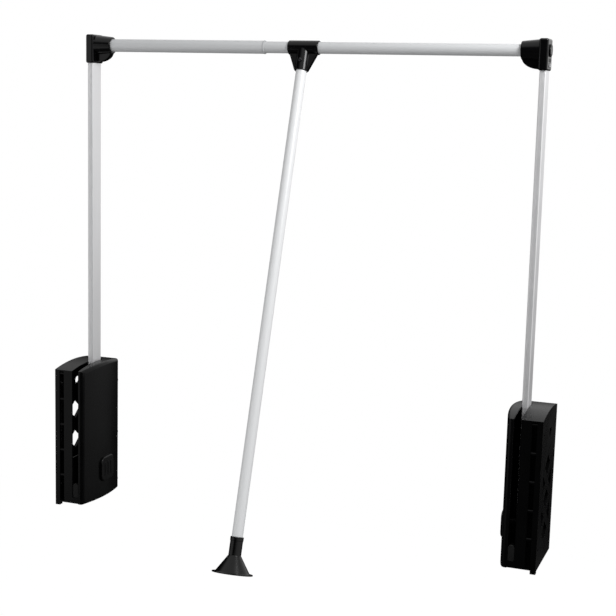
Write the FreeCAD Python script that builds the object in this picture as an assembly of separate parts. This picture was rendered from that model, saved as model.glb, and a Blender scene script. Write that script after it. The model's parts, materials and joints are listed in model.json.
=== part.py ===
import FreeCAD, Part
import math
import os

# Wardrobe lift: two wall-mounted spring housings, two arms, a telescopic rail and a pull rod.
# Millimetres. X runs from the left wall to the right wall, Y from the front to the back, Z up.
# Everything is built from the left housing's lower front wall corner and moved at the end,
# so that the origin lies in the middle of the left wall plate's screw holes.

V = FreeCAD.Vector
X_AXIS = V(1, 0, 0)
Y_AXIS = V(0, 1, 0)
Z_AXIS = V(0, 0, 1)

# ---- driving dimensions -------------------------------------------------------------------

installed_width = 888.0      # wall face to wall face, as stored
travel_wider = 230.0         # how far the rail can be pulled out from the stored width
rail_height = 831.0          # rail axis above the housing's base

# housing
housing_depth = 128.0
front_height = 250.0         # height of the arched top at the front edge
crown_height = 257.8         # and at its crown
back_height = 253.0          # and at the back edge
plate_thickness = 9.0        # wall plate's rim
shell_end = 35.0             # outer shell ends here and the arm's slot begins
slot_width = 12.0
cover_thickness = 19.5       # from the slot to the middle of the crowned face
cover_crown_radius = 263.0   # the face bulges, seen from above, about the pivot
skin = 2.5                   # wall of the two shells
shell_base = 2.4             # the shell's underside stands this far above the plate's
cover_base = 1.6
slot_top_depth = 92.0        # the slot is open at the top as far back as this
sill_height = 13.0           # solid sill across the bottom of the slot
sill_depth = 15.0
stop_inset = 1.0             # front stop behind the housing's front plane
inner_web_height = 88.0      # the shell's slot side is closed up to here, over the cam
cover_front_round = 6.5
cover_top_round = 6.0
cover_back_round = 4.0
cover_base_round = 3.5

# wall plate
plate_web = 5.0
plate_rim = 4.0
lattice_half_width = 36.0
lattice_rows = 3
lattice_pitch = 57.0
lattice_first = 50.0
lattice_rib = 17.0
hang_slot_radius = 6.5       # hanging slot above the top window
hang_slot_half = 3.0         # from its middle to the centre of each round end
hang_slot_shift = 9.0        # behind the plate's middle
hang_slot_z = 218.0
screw_pitch_y = 100.0
screw_pitch_z = 192.0
wall_screw_radius = 2.75
wall_screw_head = 5.0
foot_tab_height = 3.7

# groove down the shell's front, bridged by the plate's lugs
groove_width = 9.0
groove_depth = 10.0
groove_wall = 2.0
lug_count = 5
lug_first = 53.0
lug_pitch = 47.5
lug_radius = 3.0
lug_inset = 1.0              # behind the plate's front plane

# pivot
pivot_y = 71.0
pivot_z = 56.0
swing_angle = 90.0
axle_radius = 5.0
axle_head_radius = 8.0
axle_head_thickness = 2.8
axle_beyond_clip = 1.5
clip_recess = 3.0            # the clip lies this deep under the cover's face
clip_clear = 0.5             # round the clip in its recess
clip_groove_depth = 1.0
clip_mouth = 6.4             # narrower than the groove's floor, so that it snaps on
boss_radius = 12.0
bush_radius = 7.0
bush_flange_radius = 9.0
bush_flange = 0.5
clip_thickness = 1.2
clip_radius = 8.0
cap_side = 46.0
cap_corner = 12.0
cap_height = 3.5
cap_wall = 2.0
cap_rib_count = 3
cap_rib_pitch = 11.0
cap_rib_width = 2.2
cap_rib_height = 0.8

# lever and cam
lever_thickness = 9.0
hub_radius = 14.5
cam_base_radius = 26.0       # lever arm of the spring, the same at every angle
cam_start = 0.05             # roll angle of the involute at rest, radians
cam_nose = 3.0
tongue_top = 150.0
rivet_radius = 2.4
rivet_head = 4.0
rivet_sink = 1.2
rivet_from_ends = 15.0       # rivets in from the arm's end and from the tongue's
bush_gap = 0.5               # between the two bushes in the hub
arm_bottom = 96.0
collar_bottom = 76.0

# arm
arm_thickness = 10.5
arm_depth = 31.0
arm_wall = 1.6
arm_edge = 2.4
arm_short = 15.0             # arm ends this far below the rail's axis
flute_count = 4
flute_pitch = 1.4
flute_radius = 0.45

# spring, plunger and damper
foot_radius = 9.5
foot_thickness = 4.0
foot_floor = 1.5             # under the damper rod's end
spigot_gap = 0.5             # between the plunger's spigot and the coil
spring_mean_radius = 7.7
spring_wire = 2.0
spring_turns = 14
seat_thickness = 6.0
shelf_bottom = 228.0
shelf_top = 241.0
buffer_margin = 1.0          # rest buffer in from the shelf's edges
damper_radius = 5.5
damper_bore = 4.0
damper_bottom = 126.0
damper_gland = 4.0
damper_rod_radius = 2.0
piston_height = 6.0
piston_clear = 2.0           # above the gland at rest

# corner connectors
corner_width = 15.0
corner_depth = 38.0
corner_rise = 18.5           # block above the rail's axis
corner_drop = 31.5           # and below it
corner_round = 3.0
sleeve_radius = 14.5         # at its open end
sleeve_root_radius = 18.0
sleeve_end = 78.5            # from the wall
web_thickness = 12.0
web_gap = 2.0                # web's foot above the block's underside
web_root = 3.0               # how far the web reaches into the sleeve
web_short = 1.0              # web ends this far inside the sleeve's mouth
corner_floor = 2.0           # wall between the tube's end and the corner block
corner_cap_radius = 10.0
corner_cap_height = 2.5
corner_cap_plug = 1.4
cap_ring_inset = 2.0
cap_ring_width = 1.2
cap_ring_depth = 0.6
bolt_radius = 3.0
bolt_head_radius = 5.5
bolt_head_height = 4.0
bolt_length = 30.0
plug_length = 20.0
grip_count = 4
grip_pitch = 5.0
grip_width = 1.6
grip_depth = 0.5
grip_margin = 1.0
arm_screw_rise = 8.0         # above the block's underside
arm_screw_radius = 1.75
arm_screw_head = 3.6
arm_screw_head_height = 1.6
arm_screw_length = 5.5

# rail
outer_tube_radius = 11.0
outer_tube_wall = 0.7
inner_tube_radius = 9.75
inner_tube_wall = 1.0
outer_tube_end = 368.0       # from the left wall
tube_overlap = 25.0          # still inside at the greatest width
end_bush_length = 20.0
end_bush_flange = 3.0
end_bush_flange_radius = 11.4
guide_length = 16.0
guide_flange = 4.0

# handle
tee_centre = 441.3
tee_length = 54.0
tee_radius = 12.0
socket_radius = 11.25
socket_length = 41.0
socket_floor = 14.0
gusset_thickness = 6.0
gusset_rim = 2.2
gusset_rim_thickness = 9.0
gusset_inset = 1.5           # in from the sleeve's ends
gusset_foot = 0.2            # out from the socket's foot
gusset_root = 3.0            # into the sleeve
handle_lean = 17.85          # forward from plumb, degrees
rod_radius = 9.0
rod_wall = 1.2
handle_length = 876.0        # rail axis to the foot's rim
tee_screw_drop = 25.0
tee_screw_head = 2.8
tee_screw_head_height = 1.6
tee_screw_radius = 1.5
tee_screw_length = 5.0
tee_screw_slot = 0.8
tee_screw_slot_depth = 0.7
tee_boss_radius = 3.6
tee_boss_above = 0.8         # boss face in front of the socket
foot_neck = 29.5
foot_cone = 27.0
foot_lip = 2.0
foot_socket_floor = 4.0
foot_neck_radius = 10.3
foot_collar_radius = 10.8
foot_collar = 6.0
foot_cone_radius = 28.0
foot_lip_radius = 33.0
foot_wall = 2.0

# screws that hold the cover on the shell
cover_screw_radius = 2.0
cover_screw_head = 4.0
cover_screw_head_height = 2.4
cover_post_radius = 5.0
cover_screw_heights = (20.0, 112.0, 212.0)   # along the back; the fourth is low at the front
post_bite = 1.0              # how far a back post runs into the wall beside it
cover_screw_start = 12.0     # from the wall
cover_screw_recess = 1.2
cover_screw_grip = 8.0       # thread in the cover's post

# clearances
running = 0.05               # radial, between parts that turn or slide on each other
seat_gap = 0.03              # radial, between parts that are fitted together
stop_gap = 0.3               # left between a stop and what it stops
cam_gap = 0.3

# ---- sizes that follow --------------------------------------------------------------------

cover_start = shell_end + slot_width
cover_end = cover_start + cover_thickness
crown_x = cover_end - cover_crown_radius
arm_x = shell_end + slot_width / 2
spring_y = pivot_y + cam_base_radius
foot_bottom = pivot_z + cam_base_radius * cam_start + cam_gap
seat_bottom = shelf_bottom - seat_thickness
screw_centre_y = housing_depth / 2
screw_centre_z = crown_height / 2
hang_slot_y = housing_depth / 2 + hang_slot_shift
corner_bottom = rail_height - corner_drop
corner_top = rail_height + corner_rise
arm_top = rail_height - arm_short
arm_screw_height = corner_bottom + arm_screw_rise
sleeve_start = arm_x + corner_width / 2
outer_face = arm_x - corner_width / 2
tube_start = sleeve_start + corner_floor
inner_tube_end = installed_width - tube_start
inner_tube_start = outer_tube_end - travel_wider - tube_overlap
outer_tube_bore = outer_tube_radius - outer_tube_wall
tee_boss_face = socket_radius + tee_boss_above
post_back = housing_depth - skin - cover_post_radius + post_bite
post_front = groove_depth + groove_wall + cover_post_radius + post_bite
post_low = shell_base + cover_post_radius + post_bite
cover_screw_places = [(post_back, z) for z in cover_screw_heights] + [(post_front, post_low)]


# ---- small helpers ------------------------------------------------------------------------

def box(x0, x1, y0, y1, z0, z1):
    return Part.makeBox(x1 - x0, y1 - y0, z1 - z0, V(x0, y0, z0))


def rod_x(x0, x1, y, z, radius):
    return Part.makeCylinder(radius, x1 - x0, V(x0, y, z), X_AXIS)


def tube_x(x0, x1, y, z, outer, bore):
    return rod_x(x0, x1, y, z, outer).cut(rod_x(x0 - 1, x1 + 1, y, z, bore))


def rod_z(x, y, z0, z1, radius):
    return Part.makeCylinder(radius, z1 - z0, V(x, y, z0), Z_AXIS)


def fuse(shapes):
    whole = shapes[0]
    for shape in shapes[1:]:
        whole = whole.fuse(shape)
    return whole.removeSplitter()


def polygon(points):
    return Part.makePolygon(points + [points[0]])


def prism_x(points, x0, x1):
    face = Part.Face(polygon([V(x0, y, z) for y, z in points]))
    return face.extrude(V(x1 - x0, 0, 0))


def edges_where(shape, test):
    return [edge for edge in shape.Edges if test(edge)]


def along(edge, axis):
    first = edge.Vertexes[0].Point
    last = edge.Vertexes[-1].Point
    run = last - first
    return run.Length > 0 and abs(run.dot(axis)) > 0.999 * run.Length


# ---- the housing's side outline -----------------------------------------------------------

def arch_circle():
    """Centre and radius of the circle through the three heights of the arched top."""
    half = housing_depth / 2
    rise_front = crown_height - front_height
    rise_back = crown_height - back_height
    # the centre (half + shift, crown - drop) is equally far from all three points
    mean = (rise_front + rise_back) / 2
    lean = (rise_front - rise_back) / 2
    drop = (half * half + (rise_front ** 2 + rise_back ** 2) / 2) / (2 * mean)
    shift = (lean * 2 * drop - (rise_front ** 2 - rise_back ** 2) / 2) / (2 * half)
    centre_y = half + shift
    centre_z = crown_height - drop
    radius = math.hypot(shift, drop)
    return centre_y, centre_z, radius


def arch_height(y, inset=0.0):
    centre_y, centre_z, radius = arch_circle()
    return centre_z + math.sqrt((radius - inset) ** 2 - (y - centre_y) ** 2)


def outline(x0, x1, inset, base):
    """The housing's side view, set in by a wall, from x0 to x1."""
    front = inset
    back = housing_depth - inset
    low = base + inset
    middle = housing_depth / 2
    front_top = V(x0, front, arch_height(front, inset))
    crown = V(x0, middle, arch_height(middle, inset))
    back_top = V(x0, back, arch_height(back, inset))
    arch = Part.Arc(front_top, crown, back_top).toShape()
    sides = Part.makePolygon([back_top, V(x0, back, low), V(x0, front, low), front_top])
    wire = Part.Wire([arch] + sides.Edges)
    return Part.Face(wire).extrude(V(x1 - x0, 0, 0))


# ---- wall plate ---------------------------------------------------------------------------

def lattice_windows():
    """Diamonds in one column, triangles where the ribs cross and a round hole above them."""
    half_height = lattice_pitch / 2
    rib_share = lattice_rib / 2 * math.hypot(1 / lattice_half_width, 1 / half_height)
    wide = lattice_half_width * (1 - rib_share)
    tall = half_height * (1 - rib_share)
    middle = housing_depth / 2
    windows = []
    for row in range(lattice_rows):
        z = lattice_first + row * lattice_pitch
        diamond = [(middle - wide, z), (middle, z + tall), (middle + wide, z), (middle, z - tall)]
        windows.append(prism_x(diamond, -1, plate_web + 1))
    for row in range(lattice_rows - 1):
        z = lattice_first + (row + 0.5) * lattice_pitch
        for side in (-1, 1):
            apex = middle + side * (lattice_half_width - wide)
            base = middle + side * lattice_half_width
            triangle = [(apex, z), (base, z + tall), (base, z - tall)]
            windows.append(prism_x(triangle, -1, plate_web + 1))
    for end in (hang_slot_y - hang_slot_half, hang_slot_y + hang_slot_half):
        windows.append(rod_x(-1, plate_web + 1, end, hang_slot_z, hang_slot_radius))
    windows.append(box(
        -1, plate_web + 1, hang_slot_y - hang_slot_half, hang_slot_y + hang_slot_half,
        hang_slot_z - hang_slot_radius, hang_slot_z + hang_slot_radius))
    return windows


def wall_screw_places():
    return [
        (screw_centre_y + sy * screw_pitch_y / 2, screw_centre_z + sz * screw_pitch_z / 2)
        for sy in (-1, 1)
        for sz in (-1, 1)
    ]


def wall_plate():
    web = outline(0, plate_web, 0, 0)
    for window in lattice_windows():
        web = web.cut(window)
    rim = outline(0, plate_thickness, 0, 0).cut(outline(-1, plate_thickness + 1, plate_rim, 0))
    tab = box(0, plate_thickness, 0, plate_thickness, -foot_tab_height, plate_rim)
    lug_x = plate_thickness + groove_width
    lugs = [
        rod_x(plate_rim, lug_x - stop_gap, lug_radius + lug_inset, lug_first + n * lug_pitch, lug_radius)
        for n in range(lug_count)
    ]
    plate = fuse([web, rim, tab] + lugs)
    for y, z in wall_screw_places():
        plate = plate.cut(rod_x(-1, plate_web + 1, y, z, wall_screw_radius))
        sink = Part.makeCone(
            wall_screw_radius, wall_screw_head, wall_screw_head - wall_screw_radius,
            V(plate_web - (wall_screw_head - wall_screw_radius), y, z), X_AXIS)
        plate = plate.cut(sink)
    return plate


# ---- outer shell --------------------------------------------------------------------------

def outer_shell():
    walls = outline(plate_thickness, cover_start, 0, shell_base)
    walls = walls.cut(outline(plate_thickness - 1, cover_start + 1, skin, shell_base))
    slot = box(shell_end, cover_start + 1, -1, slot_top_depth, sill_height, crown_height + 1)
    walls = walls.cut(slot)
    groove_end = plate_thickness + groove_width
    groove_top = front_height - skin
    groove_floor = shell_base + skin
    groove = box(plate_thickness - 1, groove_end, -1, groove_depth, groove_floor, groove_top)
    walls = walls.cut(groove)
    groove_side = box(
        groove_end, groove_end + groove_wall, 0, groove_depth + groove_wall, shell_base, groove_top)
    groove_back = box(
        plate_thickness, groove_end + groove_wall, groove_depth, groove_depth + groove_wall,
        shell_base, groove_top)
    sill = box(shell_end - skin, cover_start, 0, sill_depth, shell_base, sill_height)
    web_back = spring_y - foot_radius - skin
    web = box(shell_end - skin, shell_end, 0, web_back, shell_base, inner_web_height)
    boss_end = arm_x - lever_thickness / 2 - bush_flange - 2 * running
    boss = rod_x(cover_screw_start, boss_end, pivot_y, pivot_z, boss_radius)
    tie = box(plate_thickness, cover_start, slot_top_depth, housing_depth - 1, shelf_bottom, shelf_top)
    posts = [
        rod_x(cover_screw_start, cover_start, y, z, cover_post_radius)
        for y, z in cover_screw_places
    ]
    shell = fuse([walls, groove_side, groove_back, sill, web, boss, tie] + posts)
    shell = shell.common(outline(plate_thickness, cover_start, 0, shell_base))
    shell = shell.cut(groove)
    shell = shell.cut(rod_x(0, cover_start, pivot_y, pivot_z, axle_radius + seat_gap))
    for y, z in cover_screw_places:
        shell = shell.cut(rod_x(0, cover_start + 1, y, z, cover_screw_radius + seat_gap))
        head_end = cover_screw_start + cover_screw_head_height
        shell = shell.cut(rod_x(0, head_end, y, z, cover_screw_head + seat_gap))
    return shell


# ---- inner cover --------------------------------------------------------------------------

def crown(inset):
    """Upright cylinder whose side is the cover's crowned face, set in by the wall."""
    below = foot_tab_height + 1
    return Part.makeCylinder(
        cover_crown_radius - inset, crown_height + 2 * below, V(crown_x, pivot_y, -below), Z_AXIS)


def rounded_cover(x0, x1, inset):
    """The cover's solid form, or its cavity when set in by the wall."""
    body = outline(x0, x1, inset, cover_base).common(crown(inset))
    front = inset
    back = housing_depth - inset
    base = cover_base + inset

    def on_face(edge):
        reaches = [math.hypot(v.X - crown_x, v.Y - pivot_y) for v in edge.Vertexes]
        return all(abs(reach - cover_crown_radius + inset) < 0.01 for reach in reaches)

    def at_front(edge):
        return on_face(edge) and all(abs(vertex.Y - front) < 0.01 for vertex in edge.Vertexes)

    def at_back(edge):
        return on_face(edge) and all(abs(vertex.Y - back) < 0.01 for vertex in edge.Vertexes)

    def at_base(edge):
        return on_face(edge) and all(abs(vertex.Z - base) < 0.01 for vertex in edge.Vertexes)

    def at_top(edge):
        lowest = front_height - inset - 1
        return on_face(edge) and all(vertex.Z > lowest for vertex in edge.Vertexes)

    body = body.makeFillet(cover_front_round - inset, edges_where(body, at_front))
    body = body.makeFillet(cover_top_round - inset, edges_where(body, at_top))
    body = body.makeFillet(cover_back_round - inset, edges_where(body, at_back))
    return body.makeFillet(cover_base_round - inset, edges_where(body, at_base))


def inner_cover():
    body = rounded_cover(cover_start, cover_end, 0)
    cavity = rounded_cover(cover_start - 1, cover_end - skin, skin)
    boss_start = arm_x + lever_thickness / 2 + bush_flange + 2 * running
    boss = rod_x(boss_start, cover_end - skin / 2, pivot_y, pivot_z, boss_radius)
    post_end = cover_end - skin / 2
    posts = [rod_x(cover_start, post_end, y, z, cover_post_radius) for y, z in cover_screw_places]
    cover = fuse([body.cut(cavity), boss] + posts).common(fuse([body, boss]))
    cover = cover.cut(rod_x(boss_start - 1, cover_end + 1, pivot_y, pivot_z, axle_radius + seat_gap))
    cover = cover.cut(rod_x(
        cover_end - clip_recess, cover_end + 1, pivot_y, pivot_z, clip_radius + clip_clear))
    for y, z in cover_screw_places:
        hole_end = cover_start + cover_screw_grip + post_bite
        cover = cover.cut(rod_x(cover_start - 1, hole_end, y, z, cover_screw_radius + seat_gap))
    return cover


def cover_screws():
    screws = []
    head_end = cover_screw_start + cover_screw_head_height
    for y, z in cover_screw_places:
        head = rod_x(cover_screw_start, head_end, y, z, cover_screw_head)
        recess = rod_x(
            cover_screw_start - 1, cover_screw_start + cover_screw_recess, y, z, cover_screw_radius)
        shank = rod_x(head_end, cover_start + cover_screw_grip, y, z, cover_screw_radius)
        screws.append(fuse([head.cut(recess), shank]))
    return Part.makeCompound(screws)


# ---- pivot --------------------------------------------------------------------------------

clip_start = cover_end - clip_recess + seat_gap
axle_end = clip_start + clip_thickness + axle_beyond_clip
clip_groove = axle_radius - clip_groove_depth


def pivot_axle():
    head_end = cover_screw_start
    head = rod_x(head_end - axle_head_thickness, head_end, pivot_y, pivot_z, axle_head_radius)
    shank = rod_x(head_end, axle_end, pivot_y, pivot_z, axle_radius)
    groove = tube_x(
        clip_start, clip_start + clip_thickness + seat_gap, pivot_y, pivot_z,
        axle_radius + 1, clip_groove)
    return fuse([head, shank]).cut(groove)


def axle_clip():
    ring = tube_x(
        clip_start, clip_start + clip_thickness, pivot_y, pivot_z,
        clip_radius, clip_groove + seat_gap)
    mouth = box(
        clip_start - 1, clip_start + clip_thickness + 1,
        pivot_y, pivot_y + clip_radius + 1,
        pivot_z - clip_mouth / 2, pivot_z + clip_mouth / 2)
    return ring.cut(mouth)


def pad_block(x0, x1, inset):
    """Square block with rounded corners about the pivot, set in by the pad's wall."""
    half = cap_side / 2 - inset
    block = box(x0, x1, pivot_y - half, pivot_y + half, pivot_z - half, pivot_z + half)
    return block.makeFillet(cap_corner - inset, edges_where(block, lambda e: along(e, X_AXIS)))


def pivot_cap():
    face = cover_end + cap_height
    back = cover_end - cap_height
    body = pad_block(back, face, 0)
    rim = [edge for edge in body.Edges if abs(edge.BoundBox.XMin - face) < 0.01]
    body = body.makeFillet(cap_wall, rim)
    body = body.cut(pad_block(back - 1, face - cap_wall, cap_wall)).cut(crown(0))
    ribs = []
    for n in range(cap_rib_count):
        y = pivot_y + (n - (cap_rib_count - 1) / 2) * cap_rib_pitch
        half = cap_rib_width / 2
        reach = cap_side / 2 - cap_corner + cap_wall
        ribs.append(box(
            face - cap_wall / 2, face + cap_rib_height, y - half, y + half,
            pivot_z - reach, pivot_z + reach))
    return fuse([body] + ribs)


# ---- lever, cam and bushes ----------------------------------------------------------------

def involute_point(roll):
    """String unwound from the cam's base circle: the flat plunger foot rides on this curve."""
    angle = cam_start - roll
    y = cam_base_radius * (math.cos(angle) - roll * math.sin(angle))
    z = cam_base_radius * (math.sin(angle) + roll * math.cos(angle))
    return pivot_y + y, pivot_z + z


def cam_plate(x0, x1):
    steps = 12
    sweep = math.radians(swing_angle)
    curve = [V(x0, *involute_point(cam_start + sweep * n / steps)) for n in range(steps + 1)]
    flank = Part.BSplineCurve()
    flank.interpolate(curve)
    start = curve[0]
    tip = curve[-1]
    nose_middle = tip + V(0, cam_nose * (math.sqrt(0.5) - 1), -cam_nose * math.sqrt(0.5))
    nose_end = tip + V(0, -cam_nose, -cam_nose)
    nose = Part.Arc(tip, nose_middle, nose_end).toShape()
    back = Part.makePolygon([
        nose_end, V(x0, pivot_y, pivot_z - hub_radius), V(x0, pivot_y, start.z), start])
    wire = Part.Wire([flank.toShape(), nose] + back.Edges)
    return Part.Face(wire).extrude(V(x1 - x0, 0, 0))


def arm_lever():
    x0 = arm_x - lever_thickness / 2
    x1 = arm_x + lever_thickness / 2
    hub = rod_x(x0, x1, pivot_y, pivot_z, hub_radius)
    half = arm_depth / 2
    neck = prism_x([
        (pivot_y - hub_radius, pivot_z), (pivot_y + hub_radius, pivot_z),
        (pivot_y + half, collar_bottom), (pivot_y + half, arm_bottom - seat_gap),
        (pivot_y - half, arm_bottom - seat_gap), (pivot_y - half, collar_bottom)], x0, x1)
    fit = arm_wall + 2 * seat_gap
    tongue = box(
        arm_x - arm_thickness / 2 + fit, arm_x + arm_thickness / 2 - fit,
        pivot_y - half + fit, pivot_y + half - fit, arm_bottom - 2, tongue_top)
    tongue = tongue.makeFillet(arm_edge - arm_wall, edges_where(tongue, lambda e: along(e, Z_AXIS)))
    lever = fuse([hub, cam_plate(x0, x1), neck, tongue])
    lever = lever.cut(rod_x(x0 - 1, x1 + 1, pivot_y, pivot_z, bush_radius + seat_gap))
    for rivet in arm_rivet_shapes(seat_gap):
        lever = lever.cut(rivet)
    return lever


def lever_bushes():
    bushes = []
    for side in (-1, 1):
        face = arm_x + side * lever_thickness / 2
        outer = face + side * bush_flange
        inner = face - side * (lever_thickness - bush_gap) / 2
        low, high = sorted((inner, face))
        body = rod_x(low, high, pivot_y, pivot_z, bush_radius)
        low, high = sorted((face, outer))
        flange = rod_x(low, high, pivot_y, pivot_z, bush_flange_radius)
        bore = rod_x(face - 10, face + 10, pivot_y, pivot_z, axle_radius + running)
        bushes.append(fuse([body, flange]).cut(bore))
    return Part.makeCompound(bushes)


# ---- arm ----------------------------------------------------------------------------------

def arm_rivet_shapes(extra):
    """Countersunk rivets through arm and tongue, or their holes when grown by a clearance."""
    x0 = arm_x - arm_thickness / 2
    x1 = arm_x + arm_thickness / 2
    shank = rivet_radius + extra
    head = rivet_head + extra
    rivets = []
    for z in (arm_bottom + rivet_from_ends, tongue_top - rivet_from_ends):
        body = rod_x(x0, x1, pivot_y, z, shank)
        low = Part.makeCone(head, shank, rivet_sink, V(x0, pivot_y, z), X_AXIS)
        high = Part.makeCone(shank, head, rivet_sink, V(x1 - rivet_sink, pivot_y, z), X_AXIS)
        rivets.append(fuse([body, low, high]))
    return rivets


def arm_rivets():
    return Part.makeCompound(arm_rivet_shapes(0))


def rounded_bar(half_x, half_y, edge, z0, z1):
    bar = box(arm_x - half_x, arm_x + half_x, pivot_y - half_y, pivot_y + half_y, z0, z1)
    return bar.makeFillet(edge, edges_where(bar, lambda e: along(e, Z_AXIS)))


def arm():
    half_x = arm_thickness / 2
    half_y = arm_depth / 2
    bar = rounded_bar(half_x, half_y, arm_edge, arm_bottom, arm_top)
    hollow = rounded_bar(
        half_x - arm_wall, half_y - arm_wall, arm_edge - arm_wall, arm_bottom - 1, arm_top + 1)
    bar = bar.cut(hollow)
    for n in range(flute_count):
        x = arm_x + (n - (flute_count - 1) / 2) * flute_pitch
        for side in (-1, 1):
            y = pivot_y + side * half_y
            bar = bar.cut(rod_z(x, y, arm_bottom - 1, arm_top + 1, flute_radius))
    for rivet in arm_rivet_shapes(seat_gap):
        bar = bar.cut(rivet)
    screw_x = arm_x - half_x - 1
    return bar.cut(rod_x(
        screw_x, screw_x + arm_wall + 2, pivot_y, arm_screw_height, arm_screw_radius + seat_gap))


# ---- spring, plunger, damper and stops ----------------------------------------------------

foot_top = foot_bottom + foot_thickness


def spring_plunger():
    foot = rod_z(arm_x, spring_y, foot_bottom, foot_top, foot_radius)
    spigot_radius = spring_mean_radius - spring_wire / 2 - spigot_gap
    spigot = rod_z(arm_x, spring_y, foot_top, foot_top + 2 * foot_thickness, spigot_radius)
    socket = rod_z(
        arm_x, spring_y, foot_bottom + foot_floor, damper_bottom, damper_rod_radius + seat_gap)
    return fuse([foot, spigot]).cut(socket)


def damper_rod():
    piston_top = damper_bottom + damper_gland + piston_clear + piston_height
    rod = rod_z(arm_x, spring_y, foot_bottom + foot_floor, piston_top, damper_rod_radius)
    piston = rod_z(
        arm_x, spring_y, piston_top - piston_height, piston_top, damper_bore - running)
    return fuse([rod, piston])


def damper_body():
    body = rod_z(arm_x, spring_y, damper_bottom, shelf_bottom, damper_radius)
    chamber = rod_z(
        arm_x, spring_y, damper_bottom + damper_gland, shelf_bottom - damper_gland, damper_bore)
    gland = rod_z(
        arm_x, spring_y, damper_bottom - 1, damper_bottom + damper_gland + 1,
        damper_rod_radius + running)
    return body.cut(chamber).cut(gland)


def spring_seat():
    ring = rod_z(arm_x, spring_y, seat_bottom, shelf_bottom, foot_radius)
    return ring.cut(rod_z(
        arm_x, spring_y, seat_bottom - 1, shelf_bottom + 1, damper_radius + seat_gap))


def lift_spring():
    low = foot_top + spring_wire / 2
    height = seat_bottom - foot_top - spring_wire
    helix = Part.makeHelix(height / spring_turns, height, spring_mean_radius)
    start = V(spring_mean_radius, 0, 0)
    section = Part.Wire([Part.makeCircle(spring_wire / 2, start, Y_AXIS)])
    coil = Part.Wire(helix.Edges).makePipeShell([section], True, True)
    coil.translate(V(arm_x, spring_y, low))
    return coil


def rest_buffer():
    front = pivot_y + arm_depth / 2 + stop_gap
    half = lever_thickness / 2
    low = shelf_bottom + buffer_margin
    high = shelf_top - buffer_margin
    return box(arm_x - half, arm_x + half, front, slot_top_depth, low, high)


def front_stop():
    """Rubber block with a domed top, standing on the sill in the mouth of the slot."""
    top = pivot_z - arm_depth / 2 - stop_gap
    half = slot_width / 2 - stop_gap
    back = post_front - cover_post_radius - stop_gap
    block = box(arm_x - half, arm_x + half, stop_inset, back, sill_height, top - half)
    dome = Part.makeCylinder(half, back - stop_inset, V(arm_x, stop_inset, top - half), Y_AXIS)
    return fuse([block, dome])


# ---- corner connectors --------------------------------------------------------------------

def corner(tube_radius):
    """Block on the arm's top, sleeve for the rail and a quarter-round web between them."""
    block = box(
        outer_face, sleeve_start, pivot_y - corner_depth / 2, pivot_y + corner_depth / 2,
        corner_bottom, corner_top)
    block = block.makeFillet(corner_round, block.Edges)
    sleeve = Part.makeCone(
        sleeve_root_radius, sleeve_radius, sleeve_end - sleeve_start + corner_round,
        V(sleeve_start - corner_round, pivot_y, rail_height), X_AXIS)
    web_top = rail_height - sleeve_radius + web_root
    foot = corner_bottom + web_gap
    centre = V(sleeve_start, pivot_y - web_thickness / 2, web_top)
    reach = centre + V(sleeve_end - sleeve_start - web_short, 0, 0)
    drop = centre + V(0, 0, foot - web_top)
    quarter = Part.ArcOfEllipse(Part.Ellipse(reach, drop, centre), 0, math.pi / 2).toShape()
    inner = centre - V(corner_round, 0, 0)
    sides = Part.makePolygon([
        drop, V(inner.x, inner.y, drop.z), inner, reach])
    web = Part.Face(Part.Wire([quarter] + sides.Edges)).extrude(V(0, web_thickness, 0))
    body = fuse([block, sleeve, web])
    half_x = arm_thickness / 2 + seat_gap
    half_y = arm_depth / 2 + seat_gap
    body = body.cut(rounded_bar(half_x, half_y, arm_edge, corner_bottom - 1, arm_top + seat_gap))
    body = body.cut(rod_x(tube_start, sleeve_end + 1, pivot_y, rail_height, tube_radius + seat_gap))
    body = body.cut(rod_x(outer_face - 1, tube_start + 1, pivot_y, rail_height, bolt_radius + seat_gap))
    recess = bolt_head_height + corner_cap_plug
    body = body.cut(rod_x(
        outer_face - 1, outer_face + recess, pivot_y, rail_height, bolt_head_radius + seat_gap))
    body = body.cut(rod_x(
        outer_face - 1, arm_x, pivot_y, arm_screw_height, arm_screw_radius + seat_gap))
    for n in range(grip_count):
        y = pivot_y + (n - (grip_count - 1) / 2) * grip_pitch
        half = grip_width / 2
        low = arm_screw_height + arm_screw_head + grip_margin
        high = rail_height - corner_cap_radius - grip_margin
        body = body.cut(box(outer_face - 1, outer_face + grip_depth, y - half, y + half, low, high))
    return body


def corner_cap():
    disc = rod_x(
        outer_face - corner_cap_height, outer_face, pivot_y, rail_height, corner_cap_radius)
    front = outer_face - corner_cap_height
    ring_outer = corner_cap_radius - cap_ring_inset
    ring = tube_x(
        front - 1, front + cap_ring_depth, pivot_y, rail_height,
        ring_outer, ring_outer - cap_ring_width)
    plug = rod_x(outer_face, outer_face + corner_cap_plug, pivot_y, rail_height, bolt_head_radius)
    return fuse([disc.cut(ring), plug])


def rail_bolt():
    head_start = outer_face + corner_cap_plug + seat_gap
    head_end = outer_face + corner_cap_plug + bolt_head_height
    head = rod_x(head_start, head_end, pivot_y, rail_height, bolt_head_radius)
    shank = rod_x(head_end, head_end + bolt_length, pivot_y, rail_height, bolt_radius)
    return fuse([head, shank])


def tube_plug(tube_radius, tube_wall):
    radius = tube_radius - tube_wall - seat_gap
    return tube_x(
        tube_start + seat_gap, tube_start + plug_length, pivot_y, rail_height,
        radius, bolt_radius + seat_gap)


def arm_screw():
    head = rod_x(
        outer_face - arm_screw_head_height, outer_face, pivot_y, arm_screw_height, arm_screw_head)
    shank = rod_x(
        outer_face, outer_face + arm_screw_length, pivot_y, arm_screw_height, arm_screw_radius)
    return fuse([head, shank])


# ---- rail ---------------------------------------------------------------------------------

def rail_outer_tube():
    return tube_x(
        tube_start + seat_gap, outer_tube_end, pivot_y, rail_height,
        outer_tube_radius, outer_tube_bore)


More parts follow.
